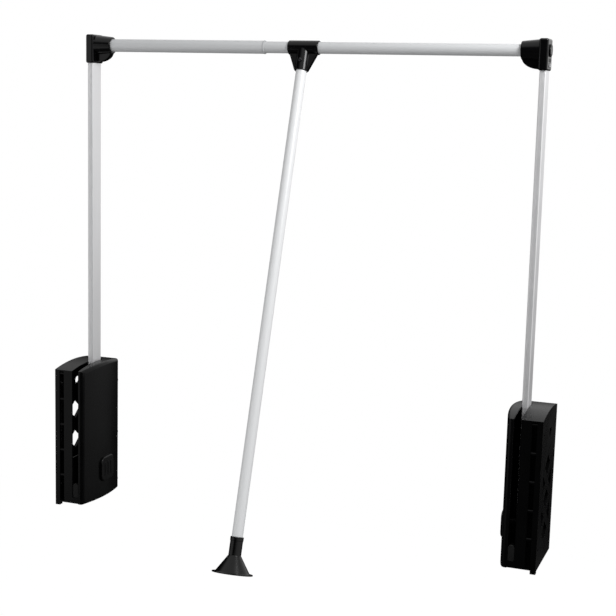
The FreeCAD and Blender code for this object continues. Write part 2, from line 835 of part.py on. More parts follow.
def rail_end_bush():
    bore = inner_tube_radius + running
    sleeve = tube_x(
        outer_tube_end - end_bush_length, outer_tube_end, pivot_y, rail_height,
        outer_tube_bore - seat_gap, bore)
    flange = tube_x(
        outer_tube_end, outer_tube_end + end_bush_flange, pivot_y, rail_height,
        end_bush_flange_radius, bore)
    return fuse([sleeve, flange])


def rail_inner_tube():
    return tube_x(
        inner_tube_start, inner_tube_end, pivot_y, rail_height,
        inner_tube_radius, inner_tube_radius - inner_tube_wall)


def inner_tube_guide():
    radius = inner_tube_radius - inner_tube_wall - seat_gap
    plug = rod_x(
        inner_tube_start, inner_tube_start + guide_length, pivot_y, rail_height, radius)
    flange = rod_x(
        inner_tube_start - guide_flange, inner_tube_start, pivot_y, rail_height,
        outer_tube_bore - running)
    bore = rod_x(
        inner_tube_start - guide_flange - 1, inner_tube_start + guide_length + 1,
        pivot_y, rail_height, radius / 2)
    return fuse([plug, flange]).cut(bore)


# ---- handle, built hanging plumb below the rail axis --------------------------------------

def hang(shape):
    """Move a handle piece under the rail and lean it forward."""
    shape = shape.copy()
    shape.translate(V(tee_centre, pivot_y, rail_height))
    shape.rotate(V(tee_centre, pivot_y, rail_height), X_AXIS, -handle_lean)
    return shape


def plate_xz(points, thickness):
    y = -thickness / 2
    face = Part.Face(polygon([V(x, y, z) for x, z in points]))
    return face.extrude(V(0, thickness, 0))


def handle_tee():
    half = tee_length / 2
    sleeve = rod_x(-half, half, 0, 0, tee_radius)
    socket = rod_z(0, 0, -socket_length, 0, socket_radius)
    edge_top = half - gusset_inset
    edge_low = socket_radius + gusset_foot
    shoulder = gusset_root - tee_radius
    bottom = -socket_length
    gusset = plate_xz(
        [(-edge_top, shoulder), (edge_top, shoulder), (edge_low, bottom), (-edge_low, bottom)],
        gusset_thickness)
    rims = []
    for side in (-1, 1):
        rims.append(plate_xz(
            [(side * edge_top, shoulder), (side * edge_low, bottom),
             (side * (edge_low - gusset_rim), bottom), (side * (edge_top - gusset_rim), shoulder)],
            gusset_rim_thickness))
    boss = Part.makeCylinder(
        tee_boss_radius, tee_boss_face, V(0, -tee_boss_face, -tee_screw_drop), Y_AXIS)
    body = fuse([sleeve, socket, gusset, boss] + rims)
    body = body.cut(rod_x(-half - 1, half + 1, 0, 0, inner_tube_radius + running))
    body = body.cut(rod_z(0, 0, -socket_length - 1, -socket_floor, rod_radius + seat_gap))
    screw_hole = Part.makeCylinder(
        tee_screw_radius + seat_gap, socket_radius, V(0, -tee_boss_face - 1, -tee_screw_drop), Y_AXIS)
    return hang(body.cut(screw_hole))


def tee_screw():
    front = -tee_boss_face - tee_screw_head_height
    head = Part.makeCylinder(
        tee_screw_head, tee_screw_head_height, V(0, front, -tee_screw_drop), Y_AXIS)
    slot = box(
        -tee_screw_head, tee_screw_head, front - 1, front + tee_screw_slot_depth,
        -tee_screw_drop - tee_screw_slot / 2, -tee_screw_drop + tee_screw_slot / 2)
    shank = Part.makeCylinder(
        tee_screw_radius, tee_screw_length, V(0, -tee_boss_face, -tee_screw_drop), Y_AXIS)
    return hang(fuse([head.cut(slot), shank]))


foot_length = foot_neck + foot_cone + foot_lip
foot_start = handle_length - foot_length
foot_socket = foot_neck - foot_socket_floor


def pull_rod():
    top = -socket_floor - seat_gap
    bottom = -(foot_start + foot_socket) + seat_gap
    rod = rod_z(0, 0, bottom, top, rod_radius)
    rod = rod.cut(rod_z(0, 0, bottom - 1, top + 1, rod_radius - rod_wall))
    screw_hole = Part.makeCylinder(
        tee_screw_radius + seat_gap, rod_radius, V(0, -rod_radius - 1, -tee_screw_drop), Y_AXIS)
    return hang(rod.cut(screw_hole))


def bell_foot():
    neck_end = foot_start + foot_neck
    cone_end = neck_end + foot_cone
    collar_end = foot_start + foot_collar
    outside = [
        (0, foot_start), (foot_collar_radius, foot_start), (foot_collar_radius, collar_end),
        (foot_neck_radius, collar_end), (foot_neck_radius, neck_end),
        (foot_cone_radius, cone_end), (foot_lip_radius, cone_end), (foot_lip_radius, handle_length),
        (0, handle_length)]
    profile = Part.Face(polygon([V(r, 0, -t) for r, t in outside]))
    foot = profile.revolve(V(0, 0, 0), Z_AXIS, 360)
    socket = rod_z(0, 0, -(foot_start + foot_socket), -foot_start + 1, rod_radius + seat_gap)
    bell = Part.makeCone(
        foot_cone_radius - foot_wall, foot_neck_radius - foot_wall, foot_cone + foot_lip,
        V(0, 0, -handle_length), Z_AXIS)
    return hang(foot.cut(socket).cut(bell))


# ---- all the pieces -----------------------------------------------------------------------

housing_pieces = {
    "wall_plate": wall_plate,
    "outer_shell": outer_shell,
    "inner_cover": inner_cover,
    "cover_screws": cover_screws,
    "pivot_axle": pivot_axle,
    "axle_clip": axle_clip,
    "pivot_cap": pivot_cap,
    "rest_buffer": rest_buffer,
    "front_stop": front_stop,
    "spring_seat": spring_seat,
    "lift_spring": lift_spring,
    "damper_body": damper_body,
    "spring_plunger": spring_plunger,
    "damper_rod": damper_rod,
    "arm_lever": arm_lever,
    "lever_bushes": lever_bushes,
    "arm": arm,
    "arm_rivets": arm_rivets,
    "corner_cap": corner_cap,
    "rail_bolt": rail_bolt,
    "arm_screw": arm_screw,
}

pieces = {}
for name, make in housing_pieces.items():
    shape = make()
    pieces["left_" + name] = shape
    pieces["right_" + name] = shape.mirror(V(installed_width / 2, 0, 0), X_AXIS)

pieces["left_corner"] = corner(outer_tube_radius)
pieces["left_tube_plug"] = tube_plug(outer_tube_radius, outer_tube_wall)
right_corner = corner(inner_tube_radius)
right_plug = tube_plug(inner_tube_radius, inner_tube_wall)
pieces["right_corner"] = right_corner.mirror(V(installed_width / 2, 0, 0), X_AXIS)
pieces["right_tube_plug"] = right_plug.mirror(V(installed_width / 2, 0, 0), X_AXIS)

pieces["rail_outer_tube"] = rail_outer_tube()
pieces["rail_end_bush"] = rail_end_bush()
pieces["rail_inner_tube"] = rail_inner_tube()
pieces["inner_tube_guide"] = inner_tube_guide()
pieces["handle_tee"] = handle_tee()
pieces["tee_screw"] = tee_screw()
pieces["pull_rod"] = pull_rod()
pieces["bell_foot"] = bell_foot()

os.makedirs("parts", exist_ok=True)
for name, shape in pieces.items():
    shape.translate(V(0, -screw_centre_y, -screw_centre_z))
    shape.exportStep("parts/" + name + ".step")
    size = shape.BoundBox
    print(
        f"{name:22s} solids {len(shape.Solids)} valid {shape.isValid()} "
        f"volume {shape.Volume:9.0f} mm3 size {size.XLength:6.1f} {size.YLength:6.1f} {size.ZLength:6.1f}")
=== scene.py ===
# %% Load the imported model
import json
import math
import bmesh
import bpy
import numpy as np
from mathutils import Matrix, Vector


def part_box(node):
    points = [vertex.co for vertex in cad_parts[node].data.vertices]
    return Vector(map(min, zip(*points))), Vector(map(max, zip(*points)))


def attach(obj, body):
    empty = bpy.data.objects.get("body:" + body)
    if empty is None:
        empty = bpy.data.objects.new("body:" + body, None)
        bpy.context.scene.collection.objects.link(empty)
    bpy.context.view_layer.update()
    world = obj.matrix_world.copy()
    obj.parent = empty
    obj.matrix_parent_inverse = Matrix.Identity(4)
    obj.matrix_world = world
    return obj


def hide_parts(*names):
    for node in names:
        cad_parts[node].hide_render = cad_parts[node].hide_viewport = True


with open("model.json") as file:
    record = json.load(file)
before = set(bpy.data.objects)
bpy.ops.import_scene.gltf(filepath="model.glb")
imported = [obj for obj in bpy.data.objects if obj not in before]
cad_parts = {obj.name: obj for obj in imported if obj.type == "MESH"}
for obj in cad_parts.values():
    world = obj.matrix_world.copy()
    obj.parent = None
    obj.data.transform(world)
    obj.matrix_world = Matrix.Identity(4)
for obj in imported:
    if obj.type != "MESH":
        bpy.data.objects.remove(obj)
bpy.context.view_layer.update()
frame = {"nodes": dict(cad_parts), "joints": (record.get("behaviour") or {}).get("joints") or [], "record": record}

# %% [markdown]
# # A pull-down wardrobe lift
# Two sprung housings are screwed to the sides of a wardrobe. Two arms carry a hanging rail, and a
# rod with a bell-shaped foot pulls the rail down to the user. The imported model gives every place
# and size. This notebook makes the surfaces that the eye meets: each is worked out as a grid of
# points, so its shape is a formula that can be read and changed.
#
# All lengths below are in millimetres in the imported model's own frame, and become metres when
# a mesh is made.

# %% Where things are
MM = 0.001


def extent(node):
    """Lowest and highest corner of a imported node, in millimetres."""
    low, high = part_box(node)
    return np.array(low) / MM, np.array(high) / MM


joint_places = {joint["name"]: np.array(joint.get("pos_m", (0, 0, 0))) / MM for joint in frame["joints"]}
pivot = joint_places["swing"]
rail = joint_places["handle_swing"]
wall_to_wall = extent("right_wall_plate")[1][0]
print("pivot", pivot.round(1), "rail", rail.round(1), "wall to wall", round(wall_to_wall, 1))

# %% [markdown]
# ## How a surface becomes a mesh
# A surface is a grid of points: rows run one way, columns the other. Neighbours in the grid make
# quads. A grid may join up with itself, as a tube does round its axis, and a whole row may sit on
# one point, as at the tip of a cone: welding the doubles then closes the seam or the pole.
# Blender could also spin or extrude these shapes, but a formula keeps each radius visible.

# %% Quads of a grid
def quads(rows, columns, closed_rows, closed_columns):
    """Corners (i, j), (i, j+1), (i+1, j+1), (i+1, j) of each cell, counted round where closed."""
    i = np.arange(rows if closed_rows else rows - 1)
    j = np.arange(columns if closed_columns else columns - 1)
    i, j = np.meshgrid(i, j, indexing="ij")
    below = (i + 1) % rows
    beside = (j + 1) % columns
    corners = [i * columns + j, i * columns + beside, below * columns + beside, below * columns + j]
    return np.stack(corners, axis=-1).reshape(-1, 4)


# %% One mesh from several surfaces
WELD_DISTANCE = 1e-7
SHARP_ANGLE = math.radians(38)


def weighted_normals(thing):
    """Let large faces decide the shading, so that flats stay flat beside their rounded edges."""
    shading = thing.modifiers.new("weighted normals", "WEIGHTED_NORMAL")
    shading.keep_sharp = True
    shading.weight = 80


def make_piece(name, surfaces, body, slot, *nodes):
    """Join the surfaces in one object, weld them, face them outwards and set them on their body."""
    points, faces, count = [], [], 0
    for grid, closed_rows, closed_columns in surfaces:
        rows, columns = grid.shape[:2]
        points.append(grid.reshape(-1, 3))
        faces.append(quads(rows, columns, closed_rows, closed_columns) + count)
        count += rows * columns
    mesh = bpy.data.meshes.new(name)
    mesh.from_pydata((np.concatenate(points) * MM).tolist(), [], np.concatenate(faces).tolist())
    shape = bmesh.new()
    shape.from_mesh(mesh)
    bmesh.ops.remove_doubles(shape, verts=shape.verts, dist=WELD_DISTANCE)
    bmesh.ops.recalc_face_normals(shape, faces=shape.faces)
    open_edges = sum(edge.is_boundary for edge in shape.edges)
    shape.to_mesh(mesh)
    shape.free()
    mesh.shade_smooth()
    mesh.set_sharp_from_angle(angle=SHARP_ANGLE)
    piece = bpy.data.objects.new(name, mesh)
    bpy.context.scene.collection.objects.link(piece)
    weighted_normals(piece)
    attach(piece, body)
    if nodes:
        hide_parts(*nodes)
    mesh.materials.append(finishes[slot])
    print(f"{name:24s} {len(mesh.polygons):6d} faces, {open_edges} open edges")
    return piece


# %% [markdown]
# ## Three ways to carry a profile
# Most of this product is either turned on a lathe, drawn through a die or moulded as a thick
# outline with soft edges. So three functions make nearly everything: `turned` carries a profile
# round an axis, `slab` carries an outline through a thickness and rounds its two rims, and
# `rounded` gives either of them a path whose corners are true arcs.

# %% Paths with rounded corners
def unit(vector):
    return vector / np.linalg.norm(vector)


def rounded(corners, radii, steps=6):
    """Path through the corners, each cut by the arc of its radius that touches both sides.

    The arc's centre is corner + unit(a + b) * r / sin(h), with a and b the directions to the
    neighbours and h half the angle between them."""
    corners = np.asarray(corners, float)
    path = []
    for k, radius in enumerate(radii):
        if radius == 0:
            path.append(corners[k][None])
            continue
        a = unit(corners[k - 1] - corners[k])
        b = unit(corners[(k + 1) % len(corners)] - corners[k])
        half = math.acos(np.clip(a @ b, -1, 1)) / 2
        centre = corners[k] + unit(a + b) * radius / math.sin(half)
        start = corners[k] + a * radius / math.tan(half) - centre
        end = corners[k] + b * radius / math.tan(half) - centre
        turn = math.pi - 2 * half
        t = np.linspace(0, 1, steps)[:, None]
        path.append(centre + (np.sin((1 - t) * turn) * start + np.sin(t * turn) * end) / math.sin(turn))
    return np.concatenate(path)


# %% Turned surfaces
X_AXIS, Y_AXIS, Z_AXIS = np.eye(3)


def turned(profile, base, axis, closed=False, count=72):
    """Point (t, r) goes to base + t * axis + r * (cos u * side + sin u * up), u once round."""
    axis = unit(np.asarray(axis, float))
    side = unit(np.cross(axis, Z_AXIS if abs(axis[2]) < 0.9 else X_AXIS))
    up = np.cross(axis, side)
    u = np.linspace(0, 2 * np.pi, count, endpoint=False)[:, None]
    circle = np.cos(u) * side + np.sin(u) * up
    t = profile[:, 0][:, None, None]
    r = profile[:, 1][:, None, None]
    return base + t * axis + r * circle[None], closed, True


# %% Outlines moved inwards
def moved_in(outline, distances):
    """Every point goes inwards by d * (n1 + n2) / (1 + n1 . n2), n1 and n2 its two sides' normals."""
    ahead = np.roll(outline, -1, axis=0) - outline
    area = np.sum(outline[:, 0] * np.roll(outline[:, 1], -1) - outline[:, 1] * np.roll(outline[:, 0], -1))
    normal = np.sign(area) * np.stack([-ahead[:, 1], ahead[:, 0]], axis=1)
    normal /= np.linalg.norm(normal, axis=1, keepdims=True)
    before = np.roll(normal, 1, axis=0)
    inward = (normal + before) / (1 + np.sum(normal * before, axis=1, keepdims=True))
    return outline[None] + np.asarray(distances)[:, None, None] * inward[None]


# %% Slabs with rounded rims
def stacked(rings, run, order):
    """Rings of two coordinates at the heights run; order names the axis of each, such as "yzx"."""
    grid = np.empty(rings.shape[:2] + (3,))
    for k, axis in enumerate(order[:2]):
        grid[..., "xyz".index(axis)] = rings[..., k]
    grid[..., "xyz".index(order[2])] = np.asarray(run)[:, None]
    return grid


def slab(outline, low, high, rims, order, steps=6):
    """The outline carried from low to high. By each end, with t from 0 to a quarter turn, it is
    rim * (1 - sin t) smaller at rim * (1 - cos t) from the end, and then closes on its middle."""
    t = np.linspace(0, np.pi / 2, steps)
    smaller = [rim * (1 - np.sin(t)) for rim in rims]
    inside = [rim * (1 - np.cos(t)) for rim in rims]
    rings = moved_in(outline, np.concatenate([smaller[0][:1], smaller[0], smaller[1][::-1], smaller[1][:1]]))
    rings[[0, -1]] = outline.mean(axis=0)
    run = np.concatenate([[low], low + inside[0], (high - inside[1])[::-1], [high]])
    return stacked(rings, run, order), False, True


def rectangle(low_a, high_a, low_b, high_b, radius, steps=6):
    """Rectangle with its four corners rounded."""
    corners = [(low_a, low_b), (high_a, low_b), (high_a, high_b), (low_a, high_b)]
    return rounded(corners, [radius] * 4, steps=steps)


# %% The right side is the left side in a mirror
def on_side(side, surfaces):
    """Surfaces are made for the left wall; x becomes wall_to_wall - x for the right one."""
    if side == "left":
        return surfaces
    flipped = []
    for grid, closed_rows, closed_columns in surfaces:
        grid = grid.copy()
        grid[..., 0] = wall_to_wall - grid[..., 0]
        flipped.append((grid, closed_rows, closed_columns))
    return flipped


# %% [markdown]
# ## Finishes
# A finish is a Principled shader fed by small groups of nodes. The effects that more than one
# finish uses are groups of their own, so that each finish only says how strong they are: the
# fine skin of a moulding, the long lines of drawn metal, and the soft ripple of powder coat.

# %% A group of nodes with named sockets
def effect(name, inputs, outputs):
    """An empty group: its inputs with their defaults, and its outputs, all plain numbers."""
    tree = bpy.data.node_groups.new(name, "ShaderNodeTree")
    for label, value in inputs.items():
        socket = tree.interface.new_socket(label, in_out="INPUT", socket_type="NodeSocketFloat")
        socket.default_value = value
    for label in outputs:
        tree.interface.new_socket(label, in_out="OUTPUT", socket_type="NodeSocketFloat")
    return tree, tree.nodes.new("NodeGroupInput").outputs, tree.nodes.new("NodeGroupOutput").inputs


def noise(tree, place, scale, detail=2.0):
    """Noise texture at a place; scale is a number or a socket. Returns its value."""
    node = tree.nodes.new("ShaderNodeTexNoise")
    node.inputs["Detail"].default_value = detail
    tree.links.new(place, node.inputs["Vector"])
    if isinstance(scale, (int, float)):
        node.inputs["Scale"].default_value = scale
    else:
        tree.links.new(scale, node.inputs["Scale"])
    return node.outputs["Fac"]


def object_place(tree):
    return tree.nodes.new("ShaderNodeTexCoord").outputs["Object"]


# %% The skin of a moulding
moulded_skin, given, result = effect("moulded skin", {"Grain": 1800.0, "Clouds": 22.0}, ["Height", "Clouds"])
place = object_place(moulded_skin)
moulded_skin.links.new(noise(moulded_skin, place, given["Grain"], 3.0), result["Height"])
moulded_skin.links.new(noise(moulded_skin, place, given["Clouds"], 4.0), result["Clouds"])

# %% Lines left by drawing
drawn_lines, given, result = effect("drawn lines", {"Across": 900.0, "Along": 3.0}, ["Lines", "Patches"])
place = object_place(drawn_lines)
scale_by = drawn_lines.nodes.new("ShaderNodeCombineXYZ")
stretch = drawn_lines.nodes.new("ShaderNodeVectorMath")
stretch.operation = "MULTIPLY"
drawn_lines.links.new(given["Across"], scale_by.inputs["X"])
drawn_lines.links.new(given["Across"], scale_by.inputs["Y"])
drawn_lines.links.new(given["Along"], scale_by.inputs["Z"])
drawn_lines.links.new(place, stretch.inputs[0])
drawn_lines.links.new(scale_by.outputs[0], stretch.inputs[1])
drawn_lines.links.new(noise(drawn_lines, stretch.outputs[0], 1.0, 3.0), result["Lines"])
drawn_lines.links.new(noise(drawn_lines, place, 14.0, 4.0), result["Patches"])

# %% Powder coat
powder_coat, given, result = effect("powder coat", {"Ripple": 420.0, "Speck": 2600.0}, ["Height", "Speck"])
place = object_place(powder_coat)
powder_coat.links.new(noise(powder_coat, place, given["Ripple"], 1.0), result["Height"])
powder_coat.links.new(noise(powder_coat, place, given["Speck"], 0.0), result["Speck"])


# %% Helpers that finish a shader
def new_finish(name, roughness, metallic=0.0, specular=0.5):
    """A material with its Principled shader, and the sockets that are the same everywhere."""
    material = bpy.data.materials.new(name)
    material.use_nodes = True
    shader = material.node_tree.nodes["Principled BSDF"]
    shader.inputs["Roughness"].default_value = roughness
    shader.inputs["Metallic"].default_value = metallic
    shader.inputs["Specular IOR Level"].default_value = specular
    return material, material.node_tree, shader


def put_group(tree, group, **values):
    node = tree.nodes.new("ShaderNodeGroup")
    node.node_tree = group
    for label, value in values.items():
        node.inputs[label].default_value = value
    return node.outputs


MASK_LOW, MASK_HIGH = 0.3, 0.7


def between(tree, mask, low, high):
    """A value that runs from low to high as the mask runs from MASK_LOW to MASK_HIGH."""
    spread = tree.nodes.new("ShaderNodeMapRange")
    spread.inputs["From Min"].default_value = MASK_LOW
    spread.inputs["From Max"].default_value = MASK_HIGH
    spread.inputs["To Min"].default_value = low
    spread.inputs["To Max"].default_value = high
    tree.links.new(mask, spread.inputs["Value"])
    return spread.outputs["Result"]


def colour_between(tree, mask, dark, light, shader):
    mix = tree.nodes.new("ShaderNodeMix")
    mix.data_type = "RGBA"
    mix.inputs[6].default_value = (*dark, 1.0)
    mix.inputs[7].default_value = (*light, 1.0)
    tree.links.new(between(tree, mask, 0.0, 1.0), mix.inputs[0])
    tree.links.new(mix.outputs[2], shader.inputs["Base Color"])


def roughness_between(tree, mask, smooth, rough, shader):
    tree.links.new(between(tree, mask, smooth, rough), shader.inputs["Roughness"])


def bump(tree, height, distance, strength, shader):
    """Small relief; distance is its depth in metres."""
    node = tree.nodes.new("ShaderNodeBump")
    node.inputs["Distance"].default_value = distance
    node.inputs["Strength"].default_value = strength
    tree.links.new(height, node.inputs["Height"])
    tree.links.new(node.outputs["Normal"], shader.inputs["Normal"])


# %% [markdown]
# ### The black plastics
# The housings have a fine satin skin, the connectors are polished, and the foot lies between. All
# are nearly black, so what the eye reads is the light that the surface throws back: the specular
# level is low and the roughness varies slowly, as on a real moulding.

# %% Black plastics
finishes = {}


def black_plastic(slot, colour, roughness, specular, grain, depth):
    material, tree, shader = new_finish(slot, roughness, specular=specular)
    skin = put_group(tree, moulded_skin, Grain=grain)
    light = [channel * 1.5 for channel in colour]
    colour_between(tree, skin["Clouds"], colour, light, shader)
    roughness_between(tree, skin["Clouds"], roughness * 0.9, roughness * 1.1, shader)
    bump(tree, skin["Height"], depth, 0.5, shader)
    finishes[slot] = material


black_plastic("housing_black", (0.0014, 0.0014, 0.0015), 0.28, 0.12, 2400.0, 0.00004)
black_plastic("cap_black", (0.0016, 0.0016, 0.0017), 0.30, 0.16, 2400.0, 0.00004)
black_plastic("connector_black", (0.0018, 0.0018, 0.0020), 0.16, 0.26, 1500.0, 0.00001)
black_plastic("foot_black", (0.0014, 0.0014, 0.0015), 0.22, 0.26, 1800.0, 0.00002)
black_plastic("buffer_rubber", (0.0060, 0.0060, 0.0060), 0.65, 0.20, 1200.0, 0.00006)


# %% [markdown]
# ### The metals
# The arms are drawn aluminium, anodised satin: fine lines run along them. The rail and the pull rod
# are steel tube under pale powder coat, which hides the metal and shows a faint ripple. Inside the
# housings there are steel, bronze and a cast lever.

# %% Drawn and turned metals
def drawn_metal(slot, colour, roughness, metallic, depth=0.00001, along=3.0):
    material, tree, shader = new_finish(slot, roughness, metallic)
    lines = put_group(tree, drawn_lines, Along=along)
    dark = [channel * 0.93 for channel in colour]
    colour_between(tree, lines["Lines"], dark, colour, shader)
    roughness_between(tree, lines["Patches"], roughness * 0.88, roughness * 1.12, shader)
    bump(tree, lines["Lines"], depth, 0.4, shader)
    finishes[slot] = material


drawn_metal("arm_alloy", (0.86, 0.86, 0.87), 0.34, 0.50)
drawn_metal("lever_alloy", (0.45, 0.45, 0.46), 0.5, 0.9, 0.00005, 900.0)
drawn_metal("fastener_steel", (0.60, 0.60, 0.61), 0.30, 1.0)
drawn_metal("screw_black", (0.05, 0.05, 0.055), 0.30, 0.8)
drawn_metal("spring_steel", (0.30, 0.31, 0.33), 0.35, 1.0)
drawn_metal("damper_alloy", (0.60, 0.60, 0.62), 0.35, 0.95)
drawn_metal("damper_chrome", (0.85, 0.85, 0.86), 0.10, 1.0)
drawn_metal("bush_bronze", (0.60, 0.42, 0.20), 0.40, 1.0, 0.00002, 900.0)


# %% Powder coat and pale plastics
def coated(slot, colour, roughness, specular=0.5, metallic=0.0, depth=0.00003):
    material, tree, shader = new_finish(slot, roughness, metallic, specular)
    coat = put_group(tree, powder_coat)
    dark = [channel * 0.96 for channel in colour]
    colour_between(tree, coat["Speck"], dark, colour, shader)
    roughness_between(tree, coat["Height"], roughness * 0.92, roughness * 1.08, shader)
    bump(tree, coat["Height"], depth, 0.4, shader)
    finishes[slot] = material


coated("rail_grey", (0.62, 0.63, 0.64), 0.30)
coated("rod_white", (0.85, 0.86, 0.87), 0.32)
coated("bush_grey", (0.50, 0.51, 0.52), 0.40)
coated("slide_acetal", (0.80, 0.79, 0.75), 0.35)

for row in frame["record"]["subparts"]:
    skin_of_node = frame["nodes"][row["node"]].data.materials
    skin_of_node.clear()
    skin_of_node.append(finishes[row["material_slot"]])
print("finishes", sorted(finishes))

# %% [markdown]
# ## The rail
# Two steel tubes slide in each other. Each is one closed profile, wall thickness and all, carried
# round the rail's axis, with the tiny rounding that deburring leaves at the cut ends.

# %% Rail tubes and the bush between them
TUBE_DEBURR = 0.2
OUTER_WALL = 0.7
INNER_WALL = 1.0


def tube(node, wall):
    """Closed profile (x, r): out along the outside, back along the bore, corners deburred."""
    low, high = extent(node)
    radius = (high[2] - low[2]) / 2
    corners = [(low[0], radius - wall), (low[0], radius), (high[0], radius), (high[0], radius - wall)]
    profile = rounded(corners, [TUBE_DEBURR] * 4, steps=4)
    return turned(profile, (0, rail[1], rail[2]), X_AXIS, closed=True, count=96)


make_piece(
    "rail_outer", [tube("rail_outer_tube", OUTER_WALL)], "left_frame", "rail_grey", "rail_outer_tube")
make_piece(
    "rail_inner", [tube("rail_inner_tube", INNER_WALL)], "right_frame", "rail_grey", "rail_inner_tube")

# %% End bush
bush_low, bush_high = extent("rail_end_bush")
BUSH_FLANGE = 3.0
SLIDING_BORE = 9.8
BUSH_SHANK = 10.27
bush_radius = (bush_high[2] - bush_low[2]) / 2
flange_start = bush_high[0] - BUSH_FLANGE
bush_profile = rounded(
    [(bush_low[0], SLIDING_BORE), (bush_low[0], BUSH_SHANK), (flange_start, BUSH_SHANK),
     (flange_start, bush_radius), (bush_high[0], bush_radius), (bush_high[0], SLIDING_BORE)],
    [0.1, 0.1, 0, 0.4, 0.9, 0.3], steps=5)
make_piece(
    "rail_bush", [turned(bush_profile, (0, rail[1], rail[2]), X_AXIS, closed=True)],
    "left_frame", "bush_grey", "rail_end_bush")

# %% [markdown]
# ## The arms
# An arm is an aluminium extrusion: a flat hollow bar with rounded corners and four fine flutes
# down each narrow side. The section is worked out once, with the flutes as circular notches in
# the side's depth, and then carried up the arm.

# %% Arm section
FLUTES = 4
FLUTE_PITCH = 1.4
FLUTE_RADIUS = 0.45
ARM_EDGE = 2.4
ARM_WALL = 1.6


def arm_section(half_x, half_y, edge, notch):
    """Rounded bar. On the narrow sides y = half_y - notch * sqrt(R^2 - (x - x_k)^2) near flute k."""
    across = np.linspace(-1, 1, 61) * (half_x - edge)
    places = (np.arange(FLUTES) - (FLUTES - 1) / 2) * FLUTE_PITCH
    depth = np.sqrt(np.clip(FLUTE_RADIUS ** 2 - (across[:, None] - places) ** 2, 0, None)).sum(axis=1)
    front = np.stack([across, -half_y + notch * depth], axis=1)
    back = np.stack([across[::-1], half_y - notch * depth], axis=1)
    turn = np.linspace(0, np.pi / 2, 7)[1:-1]
    swing_out = edge * np.stack([np.sin(turn), -np.cos(turn)], axis=1)
    right_front = swing_out + (half_x - edge, edge - half_y)
    right_back = swing_out[::-1] * (1, -1) + (half_x - edge, half_y - edge)
    left_back = swing_out * (-1, -1) + (edge - half_x, half_y - edge)
    left_front = swing_out[::-1] * (-1, 1) + (edge - half_x, edge - half_y)
    return np.concatenate([front, right_front, right_back, back, left_back, left_front])


# %% Arms and their rivets
arm_low, arm_high = extent("left_arm")
arm_middle = (arm_low + arm_high) / 2
arm_half = (arm_high - arm_low) / 2
outside = arm_section(arm_half[0], arm_half[1], ARM_EDGE, 1.0) + arm_middle[:2]
inner_half = arm_half - ARM_WALL
inside = arm_section(inner_half[0], inner_half[1], ARM_EDGE - ARM_WALL, 0.0) + arm_middle[:2]
CHAMFER = 0.15
arm_rings = np.stack([inside, outside, outside, outside, outside, inside])
arm_rings[[1, 4]] = moved_in(outside, [CHAMFER, CHAMFER])
arm_run = [arm_low[2], arm_low[2], arm_low[2] + CHAMFER, arm_high[2] - CHAMFER, arm_high[2], arm_high[2]]
arm_surface = (stacked(arm_rings, arm_run, "xyz"), True, True)
RIVET_HEAD, RIVET_SHANK = 4.0, 2.4
RIVET_SINK, RIVET_RISE = 1.2, 0.15


def rivet(z):
    """Flush rivet: each head stands out by rise * (1 - s^2), with s the radius over the head's."""
    reach = arm_half[0]
    s = np.linspace(0, 1, 6)
    dome = np.stack([reach + RIVET_RISE * (1 - s ** 2), RIVET_HEAD * s], axis=1)
    shank = [(RIVET_SINK - reach, RIVET_SHANK), (reach - RIVET_SINK, RIVET_SHANK)]
    profile = np.concatenate([dome * (-1, 1), shank, dome[::-1]])
    return turned(profile, (arm_middle[0], arm_middle[1], z), X_AXIS, count=32)


rivet_low, rivet_high = extent("left_arm_rivets")
rivets = [rivet(rivet_low[2] + RIVET_HEAD), rivet(rivet_high[2] - RIVET_HEAD)]
for side in ("left", "right"):
    make_piece(f"{side}_bar", on_side(side, [arm_surface]), f"{side}_frame", "arm_alloy", f"{side}_arm")
    make_piece(
        f"{side}_rivets", on_side(side, rivets), f"{side}_frame", "fastener_steel", f"{side}_arm_rivets")

# %% [markdown]
# ## Screw heads
# A cross-head screw is a dome with a cross pressed into it. In polar form the dome's height falls
# with the square of the radius, and the cross is where either coordinate is small: one formula
# gives both.

# %% Cross-head screw
# Shares of the head's radius, and of its height for the dome's fall, the depth and the rim.
DOME_FALL = 0.45
CROSS_HALF_WIDTH, CROSS_FLANK = 0.14, 0.06
CROSS_REACH, CROSS_RUN_OUT = 0.62, 0.1
CROSS_DEPTH = 0.6
RIM_HEIGHT, RIM_UNDERCUT = 0.15, 0.97


def cross_head(base, axis, radius, height, shank, length):
    """Height over the seat: height * (1 - fall * s^2), less the cross where min(|a|, |b|) is small."""
    s = np.linspace(0, 1, 22)[:, None]
    u = np.linspace(0, 2 * np.pi, 72, endpoint=False)[None]
    a = s * radius * np.cos(u)
    b = s * radius * np.sin(u)
    nearest = np.minimum(np.abs(a), np.abs(b))
    furthest = np.maximum(np.abs(a), np.abs(b))
    arm_of_cross = np.clip((CROSS_HALF_WIDTH * radius - nearest) / (CROSS_FLANK * radius), 0, 1)
    within = np.clip((CROSS_REACH * radius - furthest) / (CROSS_RUN_OUT * radius), 0, 1)
    top = height * (1 - DOME_FALL * s ** 2) - CROSS_DEPTH * height * arm_of_cross * within
    side = np.array([
        (radius, RIM_HEIGHT * height), (radius * RIM_UNDERCUT, 0.0), (shank, 0.0), (shank, -length),
        (0, -length)])
    ring_a = np.concatenate([a, side[:, :1] * np.cos(u)])
    ring_b = np.concatenate([b, side[:, :1] * np.sin(u)])
    rise = np.concatenate([top, side[:, 1:] + 0 * u])
    axis = unit(np.asarray(axis, float))
    e1 = unit(np.cross(axis, Z_AXIS if abs(axis[2]) < 0.9 else X_AXIS))
    e2 = np.cross(axis, e1)
    return base + rise[..., None] * axis + ring_a[..., None] * e1 + ring_b[..., None] * e2, False, True


